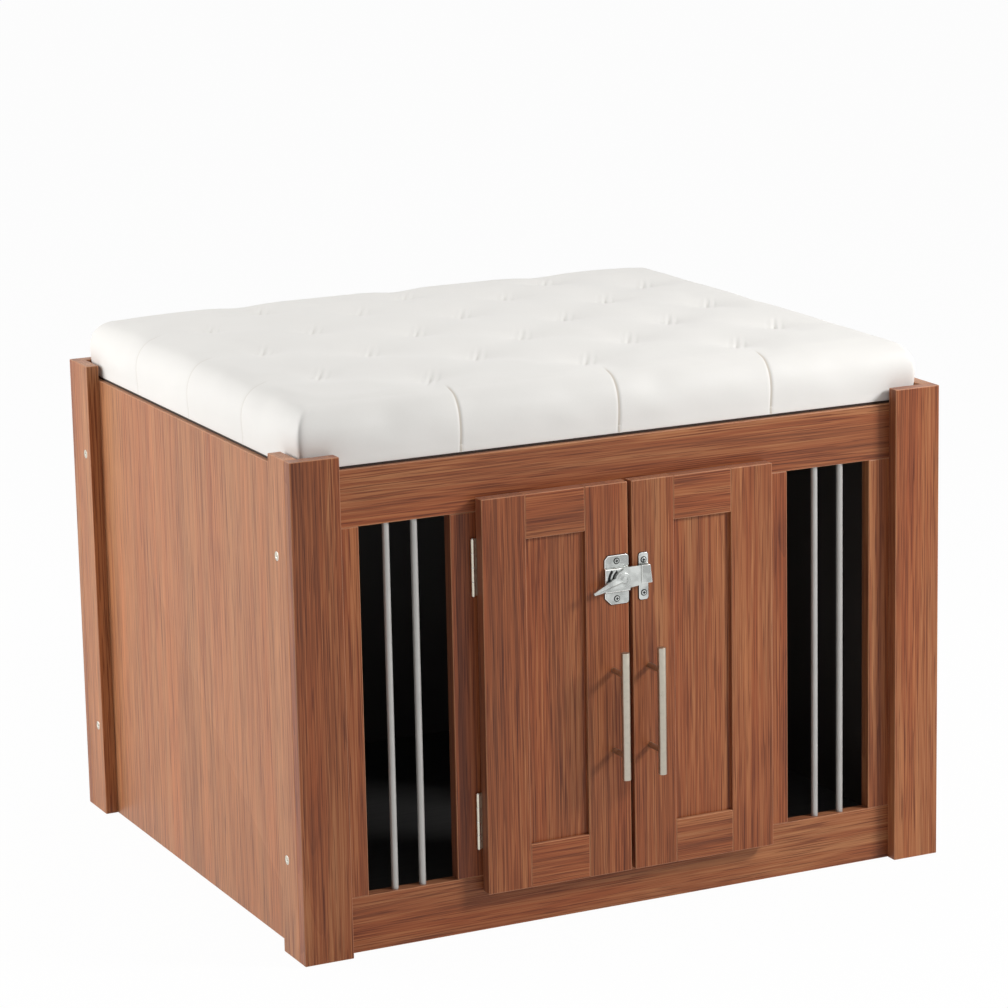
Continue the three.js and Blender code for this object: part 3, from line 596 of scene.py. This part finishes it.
def edges_along(verts, axis):
    """The edges between some vertices that run along an axis."""
    edges = {edge for vert in verts for edge in vert.link_edges}
    return [edge for edge in edges
            if abs((edge.verts[1].co - edge.verts[0].co)[axis]) > 0.99 * edge.calc_length()]


def arc_bar(bm, centre, radii, depths, arc=(0, 360), steps=24):
    """A bar bent about an axis along Y through centre; radii and depths give its section."""
    full = arc[1] - arc[0] >= 360
    made = bmesh.ops.create_grid(bm, x_segments=1, y_segments=1, size=0.5)["verts"]
    for vert in made:
        radius = sum(radii) / 2 + vert.co.x * (radii[1] - radii[0])
        depth = sum(depths) / 2 + vert.co.y * (depths[1] - depths[0])
        vert.co = (centre[0] + radius, depth, centre[1])
    cent = (centre[0], 0, centre[1])
    bmesh.ops.rotate(bm, verts=made, cent=cent, matrix=Matrix.Rotation(math.radians(-arc[0]), 3, "Y"))
    faces = list({face for vert in made for face in vert.link_faces})
    edges = list({edge for vert in made for edge in vert.link_edges})
    if full:
        bmesh.ops.delete(bm, geom=faces, context="FACES_ONLY")
        faces = []
    bmesh.ops.spin(bm, geom=made + edges + faces, cent=cent, axis=(0, -1, 0),
                   angle=math.radians(arc[1] - arc[0]), steps=steps, use_merge=full)
    bmesh.ops.holes_fill(bm, edges=[edge for edge in bm.edges if edge.is_boundary])
    bmesh.ops.recalc_face_normals(bm, faces=bm.faces)


def plate_shadow_outline(plate, name, body, dark):
    """A dark, flattened copy of a plate just behind it: painted shadow that shows as a thin line round the plate."""
    bm = plate.copy()
    low, high = (Vector(pick(vert.co[axis] for vert in bm.verts) for axis in range(3)) for pick in (min, max))
    middle = (low + high) / 2
    for vert in bm.verts:
        for axis in (0, 2):
            half = (high[axis] - low[axis]) / 2
            vert.co[axis] = middle[axis] + (vert.co[axis] - middle[axis]) * (half + SHADOW_OUTLINE_REACH) / half
        vert.co.y = high.y - (high.y - vert.co.y) * 0.4
    add_piece(bm, name, dark, body)


def shape_hook(keeper, low, high, pivot_z):
    """Thins the hook's lip towards the cam and slants its outer side."""
    front = low.y
    for vert in keeper.verts:
        if vert.co.y > high.y - 2 * MM:
            continue
        across = (vert.co.x - low.x) / (high.x - low.x)
        depth = min(1.0, (vert.co.y - front) / PLATE)
        vert.co.y += (1 - across) * (1.2 - 0.8 * depth) * MM
        vert.co.x += across * 1.3 * MM * (pivot_z + 4 * MM - vert.co.z) / (11 * MM)


def screws(name, places, front, body, steel, dark, proud=0.9 * MM, facing=-1):
    """Round screw heads on a plate facing along Y, each with a dark ring under it and dark blocks in its cross recess:
    painted shadow and painted shade.
    """
    heads, recess_shades = bmesh.new(), bmesh.new()
    for x, z in places:
        def at(share, off_x=0.0, off_z=0.0):
            return x + off_x, front + facing * share * proud, z + off_z
        # Painted shadow: a thin dark ring under the head; painted shade: dark blocks in its cross.
        cylinder(recess_shades, 3.9 * MM, at(0), at(0.13), sides=32)
        cylinder(heads, 2.9 * MM, at(0), at(1), sides=32, rim=proud / 2)
        for half_x, half_z in ((1.8 * MM, 0.65 * MM), (0.65 * MM, 1.8 * MM)):
            block(recess_shades, at(0.55, -half_x, -half_z), at(1.05, half_x, half_z))
    for bm in (heads, recess_shades):
        bmesh.ops.recalc_face_normals(bm, faces=bm.faces)
    add_piece(heads, name + "_heads", steel, body, smooth_angle=35)
    add_piece(recess_shades, name + "_recesses", dark, body)


class CRATE_OT_latch(bpy.types.Operator):
    """The cam latch: housing, cam, rivet and keeper, with their screws"""
    bl_idname = "crate.latch"
    bl_label = "Cam latch"

    def execute(self, context):
        # The zinc's strong dark clouds are painted reflections of a studio's dark and bright patches.
        zinc = metal("bright_zinc", context.scene.crate_metal.zinc, 0.26, 0.12, along="X",
                     cloud_scale=55, darkest=0.62)
        # Near-black metal for painted shade: the shadow line round the plates, the groove shadows and the screws' dark
        # rings and crosses.
        dark = metal("latch_shade_steel", (0.03, 0.03, 0.03), 0.55, 0.1)
        low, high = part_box("latch_rivet")
        pivot = Vector((low.x + high.x, low.z + high.z)) / 2
        low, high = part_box("latch_body")
        door = high.y

        body = bmesh.new()
        plate = block(body, (low.x + 0.8 * MM, door - PLATE, low.z), (high.x - 0.4 * MM, door, high.z))
        middle = Vector((low.x + high.x, 0, low.z + high.z)) / 2
        for left, upper, corner, steps in PLATE_CORNERS:
            ease(body, [edge for edge in edges_along([vert for vert in plate if vert.is_valid], 1)
                        if (edge.verts[0].co.x < middle.x) == left and (edge.verts[0].co.z > middle.z) == upper],
                 corner, segments=steps)
        # Painted shadow: a thin dark line round the body plate.
        plate_shadow_outline(body, "latch_body_shadow_outline", "left_door", dark)
        housing = block(body, (low.x, low.y, pivot.y - 16 * MM), (high.x, door, pivot.y + 16 * MM))
        for vert in housing:
            if vert.co.y < door - PLATE:
                vert.co.z += math.copysign(2.5 * MM, pivot.y - vert.co.z)
        body.faces.layers.float.new("rim")
        ease(body, sharp_edges(body, math.radians(25)), 0.6 * MM, segments=3)
        arc_bar(body, pivot, GUARD_RING, (low.y - 0.9 * MM, low.y + 0.5 * MM), GUARD_ARC)
        add_piece(body, "zinc_latch_body", zinc, "left_door", ["latch_body"], smooth_angle=35)
        # Painted shadow: dark arcs on the housing, where its groove lines would be in shade.
        groove_shadows = bmesh.new()
        for radii, arc in GUARD_GROOVE_SHADOWS:
            arc_bar(groove_shadows, pivot, radii, (low.y - 0.1 * MM, low.y + 0.5 * MM), arc)
        add_piece(groove_shadows, "latch_body_grooves", dark, "left_door")
        screws("latch_body_screws", [(pivot.x + BODY_SCREW[0], pivot.y + sign * BODY_SCREW[1]) for sign in (-1, 1)],
               door - PLATE, "left_door", zinc, dark)

        cam = node_mesh("latch_cam")
        for vert in cam.verts:
            lever = smooth_step((pivot.x - 12 * MM - vert.co.x) / (29 * MM))
            line = pivot.y + LEVER_TIP[1] / LEVER_TIP[0] * (vert.co.x - pivot.x)
            vert.co.z += 0.45 * lever * (line - vert.co.z)
            if vert.co.x > pivot.x - 1 * MM and vert.co.z > pivot.y + 10 * MM:
                vert.co.z += 1.2 * MM
        ease(cam, sharp_edges(cam, math.radians(50)), 0.35 * MM)
        boss_front = door - 9.2 * MM
        for radius in (4.9 * MM, 7.4 * MM):
            arc_bar(cam, pivot, (radius, radius + 0.6 * MM), (boss_front - 0.35 * MM, boss_front + 0.3 * MM), steps=48)
        root = Vector((pivot.x - 3 * MM, door - 8.1 * MM, pivot.y - 0.8 * MM))
        tip = Vector((pivot.x + LEVER_TIP[0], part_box("latch_cam")[0].y + 0.9 * MM, pivot.y + LEVER_TIP[1]))
        cylinder(cam, 3.4 * MM, root, tip, sides=4, end_radius=0.9 * MM)
        add_piece(cam, "zinc_latch_cam", zinc, "latch_lever", ["latch_cam"], smooth_angle=35)
        rivet = node_mesh("latch_rivet")
        add_piece(rivet, "zinc_latch_rivet", zinc, "left_door", ["latch_rivet"], smooth_angle=35)

        low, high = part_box("latch_keeper")
        middle = (low + high) / 2
        keeper = node_mesh("latch_keeper")
        ease(keeper, sharp_edges(keeper, math.radians(50)), 0.4 * MM)
        shape_hook(keeper, low, high, pivot.y)
        add_piece(keeper, "zinc_latch_keeper", zinc, "right_door", ["latch_keeper"], smooth_angle=35)
        plate = bmesh.new()
        corners = edges_along(block(plate, (low.x, high.y - PLATE, low.z), high), 1)
        ease(plate, corners, 3 * MM, segments=4)
        # Painted shadow: a thin dark line round the keeper plate.
        plate_shadow_outline(plate, "latch_keeper_shadow_outline", "right_door", dark)
        plate.free()
        screws("latch_keeper_screws", [(middle.x, middle.z + sign * KEEPER_SCREW) for sign in (-1, 1)],
               high.y - PLATE, "right_door", zinc, dark)
        return {"FINISHED"}


# ---------------------------------------------------------------- cushion

TUFT_PITCHES = 8            # across the width and across the depth
SHOULDER = 28 * MM          # top's edge in from the side
SHOULDER_DROP = 31 * MM
SHOULDER_STEPS = 6
EDGE_BELOW_TOP = 13 * MM    # top's edge below the CAD cushion's highest point
CORNER_RADIUS = 6 * MM
SIDE_INSET = 1.6 * MM       # room for the inflation
HEM_INSET = 3.6 * MM
HEM_FOLD = 4 * MM
SIDE_STEPS = 5
SIDE_GAP = 0.4 * MM         # kept free inside the CAD cushion's box
TUFT_RADIUS = 19 * MM
SIM_REACH = 5 * MM          # how far the simulation may move a point
SIM_EVENING = 9             # rounds that take small wrinkles out of its result
PLEAT_WIDTH = 1.3 * MM
PLEAT_REACH = 20 * MM       # onto the top, from its edge
SIDE_PLEATS = 0.55          # depth of those on the left and right, against the front's
FOLD_WIDTH = 2.0 * MM
FOLD_REACH = 50 * MM        # either way from a tuft
FOLD_DIRECTION = Vector((0.49, 0.87))
FOLD_LINES = ((0.0, 1.0), (9 * MM, 0.45), (-8 * MM, 0.3))     # offsets and strengths of its wrinkles


def smooth_step(value):
    value = min(1.0, max(0.0, value))
    return value * value * (3 - 2 * value)


class CushionForm:
    """Places of the cushion, worked out from its CAD solid."""

    def __init__(self):
        low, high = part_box("cushion")
        self.centre = (low + high) / 2
        self.half = Vector(((high.x - low.x) / 2, (high.y - low.y) / 2))
        self.hem_z = low.z
        self.seat_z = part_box("seat_board")[1].z
        self.edge_z = high.z - EDGE_BELOW_TOP
        self.tufts = [(column, row) for column in range(1, TUFT_PITCHES) for row in range(1, TUFT_PITCHES)
                      if (column + row) % 2 == 1]

    def tuft_place(self, tuft):
        return Vector((self.half.x * (2 * tuft[0] / TUFT_PITCHES - 1),
                       self.half.y * (2 * tuft[1] / TUFT_PITCHES - 1)))

    def plan(self, u, v, inset):
        """A plan point pulled back onto a rectangle with round corners, its inner mesh lines kept straight."""
        half_x, half_y = self.half.x - inset, self.half.y - inset
        radius = max(CORNER_RADIUS - inset, 1 * MM)
        point = Vector((u * (self.half.x - inset * abs(u) ** 5), v * (self.half.y - inset * abs(v) ** 5)))
        core = Vector((min(max(point.x, radius - half_x), half_x - radius),
                       min(max(point.y, radius - half_y), half_y - radius)))
        out = point - core
        if out.length > radius:
            out *= radius / out.length
        return core + out

    def height(self, u, v):
        """The tufted top above the shoulder."""
        settings = bpy.context.scene.crate_cushion
        crown = settings.crown * (1 - u ** 4) * (1 - v ** 4)
        place = Vector((u * self.half.x, v * self.half.y))
        dent = sum(math.exp(-(place - self.tuft_place(tuft)).length_squared / (2 * TUFT_RADIUS ** 2))
                   for tuft in self.tufts)
        return crown - settings.tuft_depth * dent


def cushion_shell(form):
    """The open cover before it is inflated: a grid for the top, and rings down to the hem."""
    spacing = bpy.context.scene.crate_cushion.spacing
    bm = bmesh.new()
    plan = bm.verts.layers.float_vector.new("plan")
    columns, rows = (TUFT_PITCHES * round(2 * half / spacing / TUFT_PITCHES) for half in form.half)
    bmesh.ops.create_grid(bm, x_segments=columns, y_segments=rows, size=1)
    for vert in bm.verts:
        u, v = vert.co.x, vert.co.y
        vert[plan] = (u, v, 0)
        vert.co.xy = form.plan(u, v, SHOULDER)
        vert.co.z = form.edge_z + form.height(u, v)

    rings = []
    for step in range(1, SHOULDER_STEPS + 1):
        angle = math.pi / 2 * step / SHOULDER_STEPS
        rings.append((SIDE_INSET + (SHOULDER - SIDE_INSET) * (1 - math.sin(angle)),
                      form.edge_z - SHOULDER_DROP * (1 - math.cos(angle))))
    side_top = form.edge_z - SHOULDER_DROP
    for step in range(1, SIDE_STEPS + 1):
        share = step / SIDE_STEPS
        rings.append((SIDE_INSET + (HEM_INSET - SIDE_INSET) * share ** 2,
                      side_top + (form.seat_z - side_top) * share))
    rings += [(HEM_INSET, form.hem_z + 2 * MM), (HEM_INSET, form.hem_z), (HEM_FOLD, form.hem_z),
              (HEM_FOLD, form.seat_z)]
    for inset, z in rings:
        rim = [edge for edge in bm.edges if edge.is_boundary]
        grown = bmesh.ops.extrude_edge_only(bm, edges=rim)["geom"]
        for vert in (item for item in grown if isinstance(item, bmesh.types.BMVert)):
            u, v, _ = vert[plan]
            vert.co.xy = form.plan(u, v, inset)
            vert.co.z = z
    bmesh.ops.recalc_face_normals(bm, faces=bm.faces)
    return bm


def evened(steps, edges):
    """The points' movements, each drawn halfway to its neighbours' mean some times over."""
    near = [[] for _ in steps]
    for edge in edges:
        first, second = edge.vertices
        near[first].append(second)
        near[second].append(first)
    for _ in range(SIM_EVENING):
        steps = [step.lerp(sum((steps[other] for other in others), Vector()) / len(others), 0.5)
                 for step, others in zip(steps, near)]
    return steps


def inflate(piece, form):
    """Blows the cover up a little between its tufts and hem, and applies the result."""
    settings = bpy.context.scene.crate_cushion
    held = piece.vertex_groups.new(name="held")
    free = 9 * MM
    for vert in piece.data.vertices:
        place = Vector((vert.co.x, vert.co.y - form.centre.y))
        near = min((place - form.tuft_place(tuft)).length for tuft in form.tufts)
        on_tuft = vert.co.z > form.edge_z - SHOULDER_DROP and near < free
        if on_tuft or vert.co.z < form.seat_z + 1 * MM:
            held.add([vert.index], 1.0, "REPLACE")
    rest = [vert.co.copy() for vert in piece.data.vertices]
    cloth = piece.modifiers.new("inflate", "CLOTH")
    cloth.settings.quality = 5
    cloth.settings.mass = 0.3
    cloth.settings.tension_stiffness = 18
    cloth.settings.compression_stiffness = 18
    cloth.settings.shear_stiffness = 8
    cloth.settings.bending_stiffness = 1.5
    cloth.settings.air_damping = 4
    cloth.settings.shrink_min = -0.006
    cloth.settings.use_pressure = True
    cloth.settings.uniform_pressure_force = settings.pressure
    cloth.settings.vertex_group_mass = "held"
    cloth.settings.effector_weights.gravity = 0
    for step in range(1, settings.frames + 1):
        bpy.context.scene.frame_set(step)
    shaped = piece.evaluated_get(bpy.context.evaluated_depsgraph_get())
    steps = [vert.co - start for vert, start in zip(shaped.data.vertices, rest)]
    piece.modifiers.remove(cloth)
    piece.vertex_groups.remove(held)
    bpy.context.scene.frame_set(1)
    for vert, start, step in zip(piece.data.vertices, rest, evened(steps, piece.data.edges)):
        if step.length > SIM_REACH:
            step *= SIM_REACH / step.length
        vert.co = start + step
        for axis in (0, 1):
            limit = form.half[axis] - SIDE_GAP
            away = vert.co[axis] - form.centre[axis]
            vert.co[axis] = form.centre[axis] + min(max(away, -limit), limit)


def refine(piece, levels):
    """Subdivides the piece and keeps the result as its mesh."""
    modifier = piece.modifiers.new("refine", "SUBSURF")
    modifier.levels = modifier.render_levels = levels
    shaped = piece.evaluated_get(bpy.context.evaluated_depsgraph_get())
    mesh = bpy.data.meshes.new_from_object(shaped)
    piece.modifiers.remove(modifier)
    piece.data = mesh


def groove(distance, width):
    return math.exp(-(distance / width) ** 2)


def fold_amount(place, form):
    """How strongly a point of the top lies in the slanting fold through a tuft or its wrinkles."""
    best = 0.0
    for tuft in form.tufts:
        away = place - form.tuft_place(tuft)
        if away.length > FOLD_REACH + 10 * MM:
            continue
        fade = 1 - smooth_step(abs(away.dot(FOLD_DIRECTION)) / FOLD_REACH)
        across = away.cross(FOLD_DIRECTION)
        for offset, strength in FOLD_LINES:
            best = max(best, strength * fade * groove(across - offset, FOLD_WIDTH))
    return best


def pleat_amount(place, z, form):
    """How strongly a point lies in a pleat: at each side's quarter points, over the shoulder to the hem."""
    best = 0.0
    for axis in (0, 1):
        other = 1 - axis
        edge = form.half[other] - abs(place[other])
        if edge > SHOULDER + PLEAT_REACH:
            continue
        top_fade = 1 - smooth_step((edge - SHOULDER) / PLEAT_REACH)
        for share in (-0.5, 0.0, 0.5):
            distance = abs(place[axis] - share * form.half[axis])
            if distance < 6 * PLEAT_WIDTH:
                best = max(best, top_fade * groove(distance, PLEAT_WIDTH))
        if axis == 1:
            best *= SIDE_PLEATS
    corner = [form.half[axis] - CORNER_RADIUS * 0.29 for axis in (0, 1)]
    off_corner = math.hypot(abs(place.x) - corner[0], abs(place.y) - corner[1])
    side = 1 - smooth_step((z - form.edge_z + 26 * MM) / (10 * MM))
    return max(best, 0.7 * side * groove(off_corner, 1.2 * PLEAT_WIDTH))


def crease(piece, form):
    """Draws the folds and pleats into the fine mesh, and marks them for the leather's painted shade."""
    settings = bpy.context.scene.crate_cushion
    mesh = piece.data
    marks = mesh.attributes.new("crease", "FLOAT", "POINT")
    normals = [vert.normal.copy() for vert in mesh.vertices]
    top = form.edge_z - SHOULDER_DROP
    for vert, normal in zip(mesh.vertices, normals):
        place = Vector((vert.co.x, vert.co.y - form.centre.y))
        fold = fold_amount(place, form) if vert.co.z > top and normal.z > 0.5 else 0.0
        pleat = pleat_amount(place, vert.co.z, form)
        if vert.co.z < top:
            normal.z = 0.0
        vert.co -= normal * (settings.fold_depth * fold + settings.pleat_depth * pleat)
        marks.data[vert.index].value = max(0.35 * fold, pleat) ** 2


class CRATE_OT_cushion(bpy.types.Operator):
    """The tufted cushion, inflated between its tufts, with folds, pleats and a turned hem"""
    bl_idname = "crate.cushion"
    bl_label = "Cushion"

    def execute(self, context):
        form = CushionForm()
        bm = cushion_shell(form)
        for vert in bm.verts:
            vert.co.y += form.centre.y
        cover = add_piece(bm, "cushion_cover", faux_leather(), "seat", ["cushion"])
        inflate(cover, form)
        refine(cover, 2)
        crease(cover, form)
        closed = bmesh.new()
        closed.from_mesh(cover.data)
        bmesh.ops.holes_fill(closed, edges=[edge for edge in closed.edges if edge.is_boundary])
        bmesh.ops.recalc_face_normals(closed, faces=closed.faces)
        closed.to_mesh(cover.data)
        closed.free()
        cover.data.shade_smooth()
        return {"FINISHED"}


# ---------------------------------------------------------------- camera, light and floor

CAMERA_PLACE = Vector((-1.9576, -4.0744, 1.4627))
CAMERA_YAW = math.radians(25.711)      # from +Y towards +X
CAMERA_PITCH = math.radians(12.995)    # downwards
CAMERA_ROLL = math.radians(-1.163)
CAMERA_LENS = 134.98
SENSOR = 36
FLOOR_GLOW = 0.97           # share of plain white in what is seen of the floor
FLOOR_HALF = 30             # metres


def add_camera():
    yaw, pitch, roll = CAMERA_YAW, CAMERA_PITCH, CAMERA_ROLL
    ahead = Vector((math.sin(yaw) * math.cos(pitch), math.cos(yaw) * math.cos(pitch), -math.sin(pitch)))
    right = Vector((math.cos(yaw), -math.sin(yaw), 0))
    up = right.cross(ahead)
    level = Matrix((right, up, -ahead)).transposed()
    data = bpy.data.cameras.new("photo_camera")
    data.lens = CAMERA_LENS
    data.sensor_width = SENSOR
    data.clip_end = 50
    camera = bpy.data.objects.new("photo_camera", data)
    camera.matrix_world = Matrix.Translation(CAMERA_PLACE) @ (level @ Matrix.Rotation(roll, 3, "Z")).to_4x4()
    bpy.context.scene.collection.objects.link(camera)
    bpy.context.scene.camera = camera


def add_light(name, place, size, power, target=(0, 0, 0.3)):
    data = bpy.data.lights.new(name, "AREA")
    data.shape = "RECTANGLE"
    data.size, data.size_y = size
    data.energy = power
    light = bpy.data.objects.new(name, data)
    aim = (Vector(target) - Vector(place)).to_track_quat("-Z", "Y")
    light.matrix_world = Matrix.Translation(place) @ aim.to_matrix().to_4x4()
    bpy.context.scene.collection.objects.link(light)


def seen_directly(tree, otherwise, directly):
    """A value for camera, glossy and transmission rays, and another for the light on the object."""
    path = tree.nodes.new("ShaderNodeLightPath")
    seen = path.outputs["Is Camera Ray"]
    for ray in ("Is Glossy Ray", "Is Transmission Ray"):
        either = tree.nodes.new("ShaderNodeMath")
        either.operation = "MAXIMUM"
        tree.links.new(seen, either.inputs[0])
        tree.links.new(path.outputs[ray], either.inputs[1])
        seen = either.outputs[0]
    level = tree.nodes.new("ShaderNodeMapRange")
    level.inputs["To Min"].default_value = otherwise
    level.inputs["To Max"].default_value = directly
    tree.links.new(seen, level.inputs["Value"])
    return level


def add_world(strength):
    """Even white light, with plain white where the camera or a glossy surface looks at it."""
    world = bpy.data.worlds.new("studio")
    world.use_nodes = True
    bpy.context.scene.world = world
    tree = world.node_tree
    level = seen_directly(tree, strength, 1.0)
    background = tree.nodes["Background"]
    background.inputs["Color"].default_value = (1, 1, 1, 1)
    tree.links.new(level.outputs[0], background.inputs["Strength"])


def floor_material():
    """A white floor that keeps a faint shadow."""
    material = bpy.data.materials.new("studio_floor")
    material.use_nodes = True
    tree = material.node_tree
    tree.nodes["Principled BSDF"].inputs["Base Color"].default_value = (0.9, 0.9, 0.9, 1)
    tree.nodes["Principled BSDF"].inputs["Roughness"].default_value = 0.9
    glow = tree.nodes.new("ShaderNodeEmission")
    mix = tree.nodes.new("ShaderNodeMixShader")
    tree.links.new(seen_directly(tree, 0.0, FLOOR_GLOW).outputs[0], mix.inputs["Fac"])
    tree.links.new(tree.nodes["Principled BSDF"].outputs[0], mix.inputs[1])
    tree.links.new(glow.outputs[0], mix.inputs[2])
    tree.links.new(mix.outputs[0], tree.nodes["Material Output"].inputs["Surface"])
    return material


class CRATE_OT_stage(bpy.types.Operator):
    """The camera, the studio light and the pale floor"""
    bl_idname = "crate.stage"
    bl_label = "Stage"

    def execute(self, context):
        settings = context.scene.crate_stage
        add_camera()
        add_light("side_light", (-2.6, 1.1, 1.2), (1.8, 1.6), settings.side_power)
        add_light("key_light", (2.0, -1.8, 1.8), (0.7, 0.7), settings.key_power)
        add_light("top_light", (0.0, 0.2, 2.8), (2.0, 2.0), settings.top_power)
        add_world(settings.world_light)
        bm = bmesh.new()
        bmesh.ops.create_grid(bm, x_segments=1, y_segments=1, size=FLOOR_HALF)
        mesh = bpy.data.meshes.new("studio_floor")
        bm.to_mesh(mesh)
        bm.free()
        mesh.materials.append(floor_material())
        floor = bpy.data.objects.new("studio_floor", mesh)
        context.scene.collection.objects.link(floor)
        context.scene.view_settings.view_transform = "Standard"
        return {"FINISHED"}


# ---------------------------------------------------------------- panel and registration

OPERATORS = (CRATE_OT_stage, CRATE_OT_cabinet, CRATE_OT_doors, CRATE_OT_inside, CRATE_OT_rods,
             CRATE_OT_bolts, CRATE_OT_hinges, CRATE_OT_handles, CRATE_OT_latch, CRATE_OT_cushion)
SETTINGS = {"crate_boards": BoardSettings, "crate_metal": MetalSettings,
            "crate_cushion": CushionSettings, "crate_stage": StageSettings}


class CRATE_PT_parts(bpy.types.Panel):
    """Lists the steps that dress the crate"""
    bl_label = "Dog Crate"
    bl_idname = "CRATE_PT_parts"
    bl_space_type = "VIEW_3D"
    bl_region_type = "UI"
    bl_category = "Crate"

    def draw(self, context):
        for operator in OPERATORS:
            self.layout.operator(operator.bl_idname)


def register():
    for settings in SETTINGS.values():
        bpy.utils.register_class(settings)
    for name, settings in SETTINGS.items():
        setattr(bpy.types.Scene, name, PointerProperty(type=settings))
    for made in (*OPERATORS, CRATE_PT_parts):
        bpy.utils.register_class(made)


def unregister():
    for made in reversed((*OPERATORS, CRATE_PT_parts)):
        bpy.utils.unregister_class(made)
    for name, settings in SETTINGS.items():
        delattr(bpy.types.Scene, name)
        bpy.utils.unregister_class(settings)


def main():
    register()
    bpy.ops.crate.stage()
    bpy.ops.crate.cabinet()
    bpy.ops.crate.doors()
    bpy.ops.crate.inside()
    bpy.ops.crate.rods()
    bpy.ops.crate.bolts()
    bpy.ops.crate.hinges()
    bpy.ops.crate.handles()
    bpy.ops.crate.latch()
    bpy.ops.crate.cushion()


if __name__ == "__main__":
    main()
